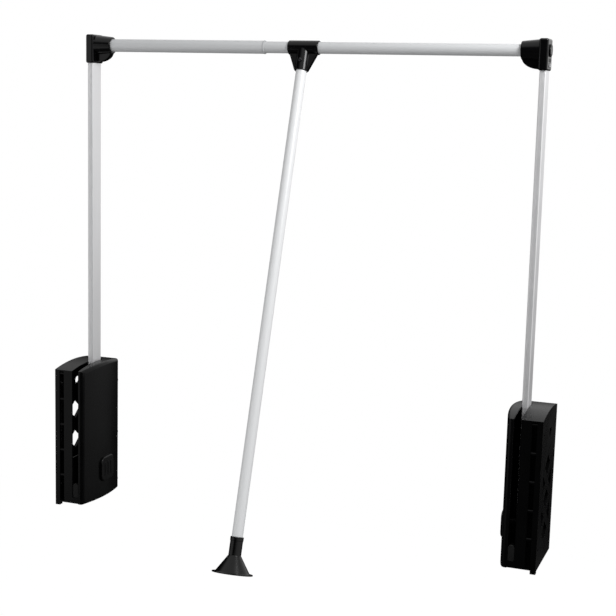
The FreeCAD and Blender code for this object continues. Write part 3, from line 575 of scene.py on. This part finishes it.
# %% [markdown]
# ## Corner connectors
# At each arm's top sits a black moulding: a block over the arm, a tapering sleeve for the rail, and
# a quarter-round web that braces the two. A round cap hides the bolt through the arm, and grip
# lines run down the block below it. The web's outline is a quarter of an ellipse.

# %% Sizes of the corner
corner_low, corner_high = extent("left_corner")
BLOCK_WIDTH = 15.0
BLOCK_CORNER = 3.4
BLOCK_RIMS = (3.0, 3.3)    # bottom, top
block_end = corner_low[0] + BLOCK_WIDTH
SLEEVE_ROOT = 18.0
SLEEVE_MOUTH = 14.5
ROOT_DEPTH = 3.0
TUBE_FLOOR = 2.0
SEAT_GAP = 0.03
WEB_HALF = 6.0
WEB_RIM = 1.6
WEB_OVERLAP = 3.0     # how far the web reaches up into the sleeve
WEB_FOOT_RISE = 2.0
WEB_SETBACK = 1.0
print("corner from", corner_low.round(1), "to", corner_high.round(1))

# %% Block, sleeve and web
block_outline = rectangle(corner_low[0], block_end, corner_low[1], corner_high[1], BLOCK_CORNER, steps=7)
block = slab(block_outline, corner_low[2], corner_high[2], BLOCK_RIMS, "xyz", steps=8)
mouth = corner_high[0]


def sleeve(bore_radius):
    """Profile (x, r): up the root, down the taper to the mouth, back along the bore to its floor."""
    floor = block_end + TUBE_FLOOR
    corners = [
        (block_end - ROOT_DEPTH, 0), (block_end - ROOT_DEPTH, SLEEVE_ROOT), (mouth, SLEEVE_MOUTH),
        (mouth, bore_radius), (floor, bore_radius), (floor, 0)]
    profile = rounded(corners, [0, 0, 1.4, 0.5, 0, 0])
    return turned(profile, (0, rail[1], rail[2]), X_AXIS, count=96)


web_top = rail[2] - SLEEVE_MOUTH + WEB_OVERLAP
web_foot = corner_low[2] + WEB_FOOT_RISE
web_tip = mouth - WEB_SETBACK
angle = np.linspace(0, np.pi / 2, 25)
web_curve = np.stack([
    block_end + (web_tip - block_end) * np.cos(angle),
    web_top + (web_foot - web_top) * np.sin(angle)], axis=1)
web_back = block_end - ROOT_DEPTH
web_outline = np.concatenate([web_curve, [(web_back, web_foot), (web_back, web_top)]])
web = slab(web_outline, rail[1] - WEB_HALF, rail[1] + WEB_HALF, (WEB_RIM, WEB_RIM), "xzy", steps=6)

# %% Grip lines: a ribbed pillow let into the block
GRIP_PITCH = 5.0
GRIP_COUNT = 4
GRIP_SUNK, GRIP_RISE = 0.3, 0.55
GRIP_MARGIN = 1.5
GRIP_FADE_UP, GRIP_FADE_ACROSS = 1.2, 0.5
cap_low, cap_high = extent("left_corner_cap")
screw_low, screw_high = extent("left_arm_screw")


def grip_panel():
    """Outwards by edge * (sunk + rise * (0.5 + 0.5 cos(2 pi y / pitch))); the border stays sunk."""
    y = np.linspace(-0.5, 0.5, 81) * GRIP_PITCH * GRIP_COUNT
    z = np.linspace(screw_high[2] + GRIP_MARGIN, cap_low[2] - GRIP_MARGIN, 21)
    edge_z = np.clip(np.minimum(z - z[0], z[-1] - z) / GRIP_FADE_UP, 0, 1)[:, None]
    edge_y = np.clip((GRIP_PITCH * GRIP_COUNT / 2 - np.abs(y)) / GRIP_FADE_ACROSS, 0, 1)
    ridge = 0.5 + 0.5 * np.cos(2 * np.pi * (y + GRIP_PITCH / 2) / GRIP_PITCH)
    out = edge_z * (GRIP_SUNK + GRIP_RISE * edge_y * ridge)
    root = corner_low[0] + GRIP_SUNK
    top = np.stack(np.broadcast_arrays(root - out, y + rail[1], z[:, None]), axis=-1)
    flat = top.copy()
    flat[..., 0] = root
    return np.concatenate([top, flat[::-1]]), True, False


# %% Cap over the bolt, with a ring groove in its face
CAP_SUNK, CAP_DOME = 1.0, 0.1
GROOVE_OUT, GROOVE_IN, GROOVE_DEPTH = 8.0, 6.8, 0.6
cap_radius = (cap_high[2] - cap_low[2]) / 2
cap_face = corner_low[0] - cap_low[0]
groove_floor = cap_face - GROOVE_DEPTH
cap_profile = rounded(
    [(-CAP_SUNK, 0), (-CAP_SUNK, cap_radius), (cap_face, cap_radius), (cap_face, GROOVE_OUT),
     (groove_floor, GROOVE_OUT), (groove_floor, GROOVE_IN), (cap_face, GROOVE_IN), (cap_face + CAP_DOME, 0)],
    [0, 0, 0.9, 0.2, 0.15, 0.15, 0.2, 0], steps=5)
cap = turned(cap_profile, (corner_low[0], rail[1], rail[2]), -X_AXIS, count=64)
arm_screw_place = (corner_low[0], rail[1], (screw_low[2] + screw_high[2]) / 2)
arm_screw = cross_head(arm_screw_place, -X_AXIS, radius=3.6, height=1.6, shank=1.75, length=5.5)

# %% Put the corners together
TUBE_RADII = {"left": 11.0, "right": 9.75}
for side, radius in TUBE_RADII.items():
    frame_body = f"{side}_frame"
    connector = [block, sleeve(radius + SEAT_GAP), web, grip_panel()]
    make_piece(
        f"{side}_connector", on_side(side, connector), frame_body, "connector_black", f"{side}_corner")
    make_piece(
        f"{side}_bolt_cap", on_side(side, [cap]), frame_body, "connector_black", f"{side}_corner_cap")
    make_piece(
        f"{side}_arm_fixing", on_side(side, [arm_screw]), frame_body, "fastener_steel", f"{side}_arm_screw")

# %% [markdown]
# ## The handle
# The handle hangs from the rail and leans forward at rest. It is easiest to work out plumb, with
# the rail's axis at the origin, and to lean every point at the end: y and z turn about x.

# %% Leaning the handle
lean = math.radians(17.85)


def leaned(surfaces):
    """y' = y cos a + z sin a and z' = z cos a - y sin a, then move to the rail's axis."""
    out = []
    for grid, closed_rows, closed_columns in surfaces:
        x, y, z = np.moveaxis(grid, -1, 0)
        turned_grid = np.stack(
            [x, y * math.cos(lean) + z * math.sin(lean), z * math.cos(lean) - y * math.sin(lean)], axis=-1)
        out.append((turned_grid + rail, closed_rows, closed_columns))
    return out


# %% Tee: sleeve, socket, gusset and boss
TEE_HALF = 27.0
TEE_RADIUS = 12.0
SOCKET_RADIUS = 11.25
SOCKET_LENGTH = 41.0
SOCKET_FLOOR = 14.0
ROD_RADIUS = 9.0
ROD_SEAT = ROD_RADIUS + SEAT_GAP
SCREW_DROP = 25.0
BOSS_FACE = SOCKET_RADIUS + 0.8
tee_profile = rounded(
    [(-TEE_HALF, SLIDING_BORE), (-TEE_HALF, TEE_RADIUS), (TEE_HALF, TEE_RADIUS), (TEE_HALF, SLIDING_BORE)],
    [0.4, 1.2, 1.2, 0.4])
tee_sleeve = turned(tee_profile, (0, 0, 0), X_AXIS, closed=True, count=96)
socket_profile = rounded(
    [(0, 0), (0, SOCKET_RADIUS), (SOCKET_LENGTH, SOCKET_RADIUS), (SOCKET_LENGTH, ROD_SEAT),
     (SOCKET_FLOOR, ROD_SEAT), (SOCKET_FLOOR, 0)],
    [0, 0, 0.9, 0.4, 0, 0])
socket = turned(socket_profile, (0, 0, 0), -Z_AXIS, count=96)

# %% Gusset plate and its two rims
GUSSET_TOP = TEE_HALF - 1.5
GUSSET_LOW = SOCKET_RADIUS + 0.2
GUSSET_HALF = 3.0
RIM_WIDTH = 2.4
RIM_HALF = 4.5
PLATE_INSET = 0.6
SHOULDER_OVERLAP = 3.0
shoulder = SHOULDER_OVERLAP - TEE_RADIUS
plate_top = GUSSET_TOP - PLATE_INSET
plate_low_half = GUSSET_LOW - PLATE_INSET
plate_end = PLATE_INSET - SOCKET_LENGTH
gusset_outline = rounded(
    [(-plate_top, shoulder), (plate_top, shoulder),
     (plate_low_half, plate_end), (-plate_low_half, plate_end)], [0.6] * 4)
gusset = slab(gusset_outline, -GUSSET_HALF, GUSSET_HALF, (0.5, 0.5), "xzy")
rims = []
for way in (-1, 1):
    rim_outline = rounded(
        [(way * GUSSET_TOP, shoulder), (way * GUSSET_LOW, -SOCKET_LENGTH),
         (way * (GUSSET_LOW - RIM_WIDTH), -SOCKET_LENGTH), (way * (GUSSET_TOP - RIM_WIDTH), shoulder)],
        [0.5, 1.0, 0.8, 0.5])
    rims.append(slab(rim_outline, -RIM_HALF, RIM_HALF, (0.9, 0.9), "xzy"))

# %% Boss and screw, then the whole tee
SCREW_BOSS_RADIUS, SCREW_BOSS_START = 3.6, 6.0
boss_profile = rounded(
    [(SCREW_BOSS_START, 0), (SCREW_BOSS_START, SCREW_BOSS_RADIUS), (BOSS_FACE, SCREW_BOSS_RADIUS),
     (BOSS_FACE, 0)], [0, 0, 0.5, 0])
boss = turned(boss_profile, (0, 0, -SCREW_DROP), -Y_AXIS, count=40)
tee_head = cross_head(
    np.array((0, -BOSS_FACE, -SCREW_DROP)), -Y_AXIS, radius=2.8, height=1.6, shank=1.5, length=5.0)
make_piece(
    "rail_tee", leaned([tee_sleeve, socket, gusset, boss] + rims), "handle", "connector_black", "handle_tee")
make_piece("tee_fixing", leaned([tee_head]), "handle", "screw_black", "tee_screw")

# %% Pull rod
FOOT_START = 817.5
FOOT_SOCKET = 25.5
ROD_WALL = 1.2
rod_ends = (SOCKET_FLOOR + SEAT_GAP, FOOT_START + FOOT_SOCKET - SEAT_GAP)
rod_profile = rounded(
    [(rod_ends[0], ROD_RADIUS - ROD_WALL), (rod_ends[0], ROD_RADIUS), (rod_ends[1], ROD_RADIUS),
     (rod_ends[1], ROD_RADIUS - ROD_WALL)], [0.2, 0.3, 0.3, 0.2], steps=4)
rod = turned(rod_profile, (0, 0, 0), -Z_AXIS, closed=True, count=72)
make_piece("rod", leaned([rod]), "handle", "rod_white", "pull_rod")

# %% [markdown]
# ## The bell foot
# The foot is a turned shape: a collar, a neck, a flared bell with a thin lip, and a hollow
# underneath for the fingers. One profile runs from the bottom of the rod's socket over the
# outside and back up inside the bell to the axis, so the piece is closed.

# %% Bell foot
FOOT_END = 876.0
NECK_END = 847.0
CONE_END = 874.0
COLLAR_RADIUS, COLLAR_LENGTH, COLLAR_SLOPE = 10.8, 6.0, 0.4
NECK_RADIUS, CONE_RADIUS, LIP_RADIUS = 10.3, 28.0, 33.0
HOLLOW_MOUTH, HOLLOW_TOP = 26.0, 8.3
foot_floor = FOOT_START + FOOT_SOCKET
collar_end = FOOT_START + COLLAR_LENGTH
foot_corners = [
    (foot_floor, 0), (foot_floor, ROD_SEAT), (FOOT_START, ROD_SEAT), (FOOT_START, COLLAR_RADIUS),
    (collar_end, COLLAR_RADIUS), (collar_end + COLLAR_SLOPE, NECK_RADIUS), (NECK_END, NECK_RADIUS),
    (CONE_END, CONE_RADIUS), (CONE_END, LIP_RADIUS), (FOOT_END, LIP_RADIUS), (FOOT_END, HOLLOW_MOUTH),
    (NECK_END, HOLLOW_TOP), (NECK_END, 0)]
foot_radii = [0, 0, 0.3, 0.6, 0.3, 0.2, 2.5, 1.5, 0.7, 0.7, 0.8, 3.0, 0]
foot_profile = rounded(foot_corners, foot_radii)
foot = turned(foot_profile, (0, 0, 0), -Z_AXIS, count=128)
make_piece("foot", leaned([foot]), "handle", "foot_black", "bell_foot")

# %% [markdown]
# ## Housing covers
# The cover that faces the middle of the wardrobe is a shallow shell with an arched top. Its face
# bulges a little, seen from above: it is part of an upright cylinder, highest at the pivot. Its
# edges have four different roundings: large at the front, less at the top, small at the back and
# the base. Each row of the grid lies at one depth under the face, and there each side is moved in
# by what its own quarter circle asks, r - sqrt(r^2 - d^2) with d the depth into the rounding.

# %% The arch of the housing
plate_low, plate_high = extent("left_wall_plate")
FOOT_TAB = 3.7
BASE = plate_low[2] + FOOT_TAB
FRONT, BACK = plate_low[1], plate_high[1]
FRONT_HEIGHT, MIDDLE_HEIGHT, BACK_HEIGHT = 250.0, 257.8, 253.0
three = np.array([
    (FRONT, BASE + FRONT_HEIGHT), ((FRONT + BACK) / 2, BASE + MIDDLE_HEIGHT), (BACK, BASE + BACK_HEIGHT)])
solved = np.linalg.solve(np.column_stack([2 * three, np.ones(3)]), (three ** 2).sum(axis=1))
arch_centre = solved[:2]
arch_radius = math.sqrt(solved[2] + arch_centre @ arch_centre)
print("arch radius", round(arch_radius, 1), "about", arch_centre.round(1))


def arch(y, lowered):
    """Height of the circle through the three tops, its radius less by lowered."""
    return arch_centre[1] + np.sqrt((arch_radius - lowered) ** 2 - (y - arch_centre[0]) ** 2)


# %% The crowned face
COVER_START, COVER_PEAK = 47.0, 66.5
CROWN_RADIUS = 263.0
COVER_LIFT = 1.6
COVER_BASE = BASE + COVER_LIFT


def face(y, skin=0.0):
    """x of the face: peak - R + sqrt((R - skin)^2 - (y - pivot)^2)."""
    return COVER_PEAK - CROWN_RADIUS + np.sqrt((CROWN_RADIUS - skin) ** 2 - (y - pivot[1]) ** 2)


print("the face falls", round(COVER_PEAK - face(FRONT), 1), "mm to its front edge")


# %% Rings of the cover
def housing_rings(front, top, back, base, samples=28):
    """A ring per row: up the front, over the arch, down the back, forward along the base."""
    s = np.linspace(0, 1, samples, endpoint=False)[None]
    y0 = (FRONT + front)[:, None]
    y1 = (BACK - back)[:, None]
    z0 = (COVER_BASE + base)[:, None]
    lowered = top[:, None]
    over = y0 + s * (y1 - y0)
    y = [y0 + 0 * s, over, y1 + 0 * s, y1 + s * (y0 - y1)]
    z = [z0 + s * (arch(y0, lowered) - z0), arch(over, lowered),
         arch(y1, lowered) + s * (z0 - arch(y1, lowered)), z0 + 0 * s]
    return np.stack([np.concatenate(y, axis=1), np.concatenate(z, axis=1)], axis=-1)


def quarter(depth, radius):
    """How far a quarter circle of this radius has come in at a depth into it."""
    inside_arc = np.clip(depth, 0, radius)
    return radius - np.sqrt(radius ** 2 - inside_arc ** 2)


# %% One side of the cover's skin, from the mouth to the middle of the face
ROUNDINGS = np.array([6.5, 6.0, 4.0, 3.5])     # front, top, back, base
SKIN = 2.5
cover_middle = np.array([pivot[1], (BASE + arch(0.0, 0.0)) / 2])


def cover_half(skin):
    """x = face(y) - depth: depth falls by r (1 - sin t) round the edges and is 0 over the face."""
    radii = ROUNDINGS - skin
    depth = radii.max() * (1 - np.sin(np.linspace(0, np.pi / 2, 16)))
    sides = housing_rings(*[skin + quarter(radius - depth, radius) for radius in radii])
    shrink = np.linspace(1, 0, 12)[1:, None, None]
    over_face = cover_middle + shrink * (sides[-1] - cover_middle)
    rings = np.concatenate([sides, over_face])
    depth = np.concatenate([depth, np.zeros(len(shrink))])[:, None]
    return np.stack([face(rings[..., 0], skin) - depth, rings[..., 0], rings[..., 1]], axis=-1)


# %% Cover surface: mouth edge, outside, inside
MOUTH_EDGE = 0.9
mouth_turn = np.linspace(0, np.pi / 2, 6)
cover_mouth = stacked(
    housing_rings(*[MOUTH_EDGE * (1 - np.sin(mouth_turn))] * 4),
    COVER_START + MOUTH_EDGE * (1 - np.cos(mouth_turn)), "yzx")
mouth_inside = stacked(housing_rings(*[np.array([SKIN])] * 4), [COVER_START], "yzx")
cover_surface = (
    np.concatenate([cover_mouth, cover_half(0.0), cover_half(SKIN)[::-1], mouth_inside]), True, True)

# %% Boss and screw posts inside the cover
BOSS_START = extent("left_inner_cover")[0][0]
PIVOT_BOSS_RADIUS = 12.0
POST_RADIUS = 5.0
POST_PLACES = ((57.5, -108.9), (57.5, -16.9), (57.5, 83.1), (-46.0, -120.5))    # y, z


def post(y, z, radius, start):
    """Turned post from its free end to the middle of the cover's skin."""
    end = face(y) - SKIN / 2
    profile = rounded([(start, 0), (start, radius), (end, radius), (end, 0)], [0, 0.4, 0, 0])
    return turned(profile, (0, y, z), X_AXIS, count=32)


posts = [post(pivot[1], pivot[2], PIVOT_BOSS_RADIUS, BOSS_START)]
for y, z in POST_PLACES:
    posts.append(post(y, z, POST_RADIUS, COVER_START))

for side in ("left", "right"):
    make_piece(
        f"{side}_cover", on_side(side, [cover_surface] + posts),
        f"{side}_housing", "housing_black", f"{side}_inner_cover")

# %% [markdown]
# ## Pivot pads
# A low square pad with large rounded corners covers the pivot, and three upright ribs stand on
# it. The pad is a slab with one soft rim, let a little into the crowned face.

# %% Pads with their ribs
pad_low, pad_high = extent("left_pivot_cap")
PAD_CORNER = 12.0
PAD_RIM = 2.0
PAD_LIFT, PAD_SUNK = 3.5, 1.5
RIB_PITCH = 11.0
RIB_HALF, RIB_CORNER = 1.1, 1.0
RIB_RISE, RIB_SUNK, RIB_RIM = 0.8, 1.0, 0.6
HARD_RIM = 0.0001
pad_face = COVER_PEAK + PAD_LIFT
pad_outline = rectangle(pad_low[1], pad_high[1], pad_low[2], pad_high[2], PAD_CORNER, steps=12)
pad = slab(pad_outline, COVER_PEAK - PAD_SUNK, pad_face, (HARD_RIM, PAD_RIM), "yzx", steps=8)
rib_reach = (pad_high[2] - pad_low[2]) / 2 - PAD_CORNER + PAD_RIM
rib_low, rib_high = pivot[2] - rib_reach, pivot[2] + rib_reach
ribs = []
for n in (-1, 0, 1):
    rib_y = pivot[1] + n * RIB_PITCH
    rib_outline = rectangle(rib_y - RIB_HALF, rib_y + RIB_HALF, rib_low, rib_high, RIB_CORNER)
    ribs.append(
        slab(rib_outline, pad_face - RIB_SUNK, pad_face + RIB_RISE, (HARD_RIM, RIB_RIM), "yzx", steps=5))
for side in ("left", "right"):
    make_piece(
        f"{side}_pad", on_side(side, [pad] + ribs), f"{side}_housing", "cap_black", f"{side}_pivot_cap")

# %% Front stops: rubber blocks with a domed top
stop_low, stop_high = extent("left_front_stop")
STOP_CORNER = 0.4
STOP_DOME = 0.995         # share of a full half circle
STOP_RIMS = (0.8, 0.3)    # front, back
dome_radius = (stop_high[0] - stop_low[0]) / 2 * STOP_DOME
stop_outline = rounded(
    [(stop_low[0], stop_low[2]), (stop_high[0], stop_low[2]), (stop_high[0], stop_high[2]),
     (stop_low[0], stop_high[2])], [STOP_CORNER, STOP_CORNER, dome_radius, dome_radius], steps=10)
stop = slab(stop_outline, stop_low[1], stop_high[1], STOP_RIMS, "xzy")
for side in ("left", "right"):
    make_piece(
        f"{side}_stop", on_side(side, [stop]), f"{side}_housing", "buffer_rubber", f"{side}_front_stop")

# %% [markdown]
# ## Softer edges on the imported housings
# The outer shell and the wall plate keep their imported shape, with its slot, groove, lugs and
# lattice. A moulding never has knife edges, so three modifiers soften them: the loose triangles
# are welded, flat ones joined, and the edges bevelled.

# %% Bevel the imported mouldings
def soften(node, width):
    thing = frame["nodes"][node]
    weld = thing.modifiers.new("weld", "WELD")
    weld.merge_threshold = 1e-6
    flat = thing.modifiers.new("join flats", "DECIMATE")
    flat.decimate_type = "DISSOLVE"
    flat.angle_limit = math.radians(1)
    bevel = thing.modifiers.new("bevel", "BEVEL")
    bevel.width = width
    bevel.segments = 3
    bevel.limit_method = "ANGLE"
    bevel.angle_limit = math.radians(35)
    weighted_normals(thing)


for side in ("left", "right"):
    soften(f"{side}_outer_shell", width=0.0012)
    soften(f"{side}_wall_plate", width=0.0008)

# %% [markdown]
# ## Camera
# The camera stands to the right of the lift, a little above its middle, and looks left and down.
# Its three angles and its focal length in pixels are turned into a lens and a matrix.

# %% Camera
IMAGE_WIDTH = 616
SENSOR = 36.0
CAMERA_PLACE = (1.22771, -2.09044, 0.61620)
focal_pixels, yaw, pitch, roll = 1307.805, 0.351, 0.158, 0.026
camera_data = bpy.data.cameras.new("camera")
camera_data.sensor_width = SENSOR
camera_data.lens = SENSOR * focal_pixels / IMAGE_WIDTH
camera = bpy.data.objects.new("camera", camera_data)
bpy.context.scene.collection.objects.link(camera)
forward = Vector((-math.sin(yaw) * math.cos(pitch), math.cos(yaw) * math.cos(pitch), -math.sin(pitch)))
level = Vector((math.cos(yaw), math.sin(yaw), 0))
upward = level.cross(forward)
rolled_right = level * math.cos(roll) + upward * math.sin(roll)
rolled_up = upward * math.cos(roll) - level * math.sin(roll)
view_matrix = Matrix((rolled_right, rolled_up, -forward)).transposed().to_4x4()
view_matrix.translation = Vector(CAMERA_PLACE)
camera.matrix_world = view_matrix
bpy.context.scene.camera = camera
print("lens", round(camera_data.lens, 1), "mm")

# %% [markdown]
# ## Light and surroundings
# Black gloss and pale metal show their surroundings, so these are worked out with care. The
# background is plain white where the camera sees it. What the surfaces mirror fades from white
# above to black below, and matt surfaces get one even level. A key lamp high on the right
# lights the metal more at its top, and a large fill on the left gives the fronts a sheen.

# %% A node that passes on the larger of two values
def larger(tree, one, other):
    node = tree.nodes.new("ShaderNodeMath")
    node.operation = "MAXIMUM"
    tree.links.new(one, node.inputs[0])
    tree.links.new(other, node.inputs[1])
    return node.outputs[0]


# %% World
TOWARDS_LIGHT = (0.5, 0.2, 1.0)
FADE_START, FADE_FINISH = 0.06, 0.48
MIRRORED_BELOW, MIRRORED_ABOVE = 0.002, 1.0
EVEN_LEVEL = 0.40
world = bpy.data.worlds.new("studio")
bpy.context.scene.world = world
world.use_nodes = True
sky = world.node_tree
soft = sky.nodes["Background"]
soft.inputs["Color"].default_value = (1, 1, 1, 1)
rays = sky.nodes.new("ShaderNodeLightPath")
direction = sky.nodes.new("ShaderNodeTexCoord")
facing = sky.nodes.new("ShaderNodeVectorMath")
facing.operation = "DOT_PRODUCT"
facing.inputs[1].default_value = TOWARDS_LIGHT
fade = sky.nodes.new("ShaderNodeMapRange")
fade.interpolation_type = "SMOOTHSTEP"
fade.inputs["From Min"].default_value = FADE_START
fade.inputs["From Max"].default_value = FADE_FINISH
fade.inputs["To Min"].default_value = MIRRORED_BELOW
fade.inputs["To Max"].default_value = MIRRORED_ABOVE
spread_or_mirrored = sky.nodes.new("ShaderNodeMix")
spread_or_mirrored.inputs["A"].default_value = EVEN_LEVEL
sky.links.new(direction.outputs["Generated"], facing.inputs[0])
sky.links.new(facing.outputs["Value"], fade.inputs["Value"])
sky.links.new(rays.outputs["Is Glossy Ray"], spread_or_mirrored.inputs["Factor"])
sky.links.new(fade.outputs["Result"], spread_or_mirrored.inputs["B"])
seen = larger(sky, rays.outputs["Is Camera Ray"], spread_or_mirrored.outputs["Result"])
seen_or_through = larger(sky, seen, rays.outputs["Is Transmission Ray"])
sky.links.new(seen_or_through, soft.inputs["Strength"])


# %% Lamps
def lamp(name, place, target, size, power):
    data = bpy.data.lights.new(name, "AREA")
    data.size = size
    data.energy = power
    thing = bpy.data.objects.new(name, data)
    bpy.context.scene.collection.objects.link(thing)
    thing.location = place
    thing.rotation_euler = (Vector(target) - Vector(place)).to_track_quat("-Z", "Y").to_euler()
    return thing


lamp("key", place=(1.6, -0.5, 1.3), target=(0.5, 0.0, 0.3), size=0.6, power=17)
lamp("fill", place=(-1.1, -1.2, 0.25), target=(0.1, 0.0, 0.3), size=1.8, power=8.5)

# %% Floor
HALF_FLOOR = 2.5
FLOOR_HEIGHT = -1.0
FLOOR_GLOW, FLOOR_MIRRORED = 1.08, 0.01
GLOW_SHARE = 0.9
floor_mesh = bpy.data.meshes.new("floor")
floor_corners = [(x * HALF_FLOOR, y * HALF_FLOOR) for x, y in ((-1, -1), (1, -1), (1, 1), (-1, 1))]
floor_mesh.from_pydata([(x, y, FLOOR_HEIGHT) for x, y in floor_corners], [], [(0, 1, 2, 3)])
floor = bpy.data.objects.new("floor", floor_mesh)
bpy.context.scene.collection.objects.link(floor)
floor_finish = bpy.data.materials.new("floor")
floor_finish.use_nodes = True
floor_tree = floor_finish.node_tree
paint = floor_tree.nodes["Principled BSDF"]
paint.inputs["Base Color"].default_value = (0.60, 0.60, 0.60, 1)
paint.inputs["Roughness"].default_value = 0.9
glow = floor_tree.nodes.new("ShaderNodeEmission")
floor_rays = floor_tree.nodes.new("ShaderNodeLightPath")
bright_or_mirrored = floor_tree.nodes.new("ShaderNodeMix")
bright_or_mirrored.inputs["A"].default_value = FLOOR_GLOW
bright_or_mirrored.inputs["B"].default_value = FLOOR_MIRRORED
floor_tree.links.new(floor_rays.outputs["Is Glossy Ray"], bright_or_mirrored.inputs["Factor"])
floor_tree.links.new(bright_or_mirrored.outputs["Result"], glow.inputs["Strength"])
camera_or_glossy = larger(
    floor_tree, floor_rays.outputs["Is Camera Ray"], floor_rays.outputs["Is Glossy Ray"])
any_view = larger(floor_tree, camera_or_glossy, floor_rays.outputs["Is Transmission Ray"])
show = floor_tree.nodes.new("ShaderNodeMath")
show.operation = "MULTIPLY"
show.inputs[1].default_value = GLOW_SHARE
floor_mix = floor_tree.nodes.new("ShaderNodeMixShader")
floor_tree.links.new(any_view, show.inputs[0])
floor_tree.links.new(show.outputs[0], floor_mix.inputs[0])
floor_tree.links.new(paint.outputs[0], floor_mix.inputs[1])
floor_tree.links.new(glow.outputs[0], floor_mix.inputs[2])
floor_tree.links.new(floor_mix.outputs[0], floor_tree.nodes["Material Output"].inputs[0])
floor_mesh.materials.append(floor_finish)

# %% Picture settings
bpy.context.scene.view_settings.view_transform = "Standard"
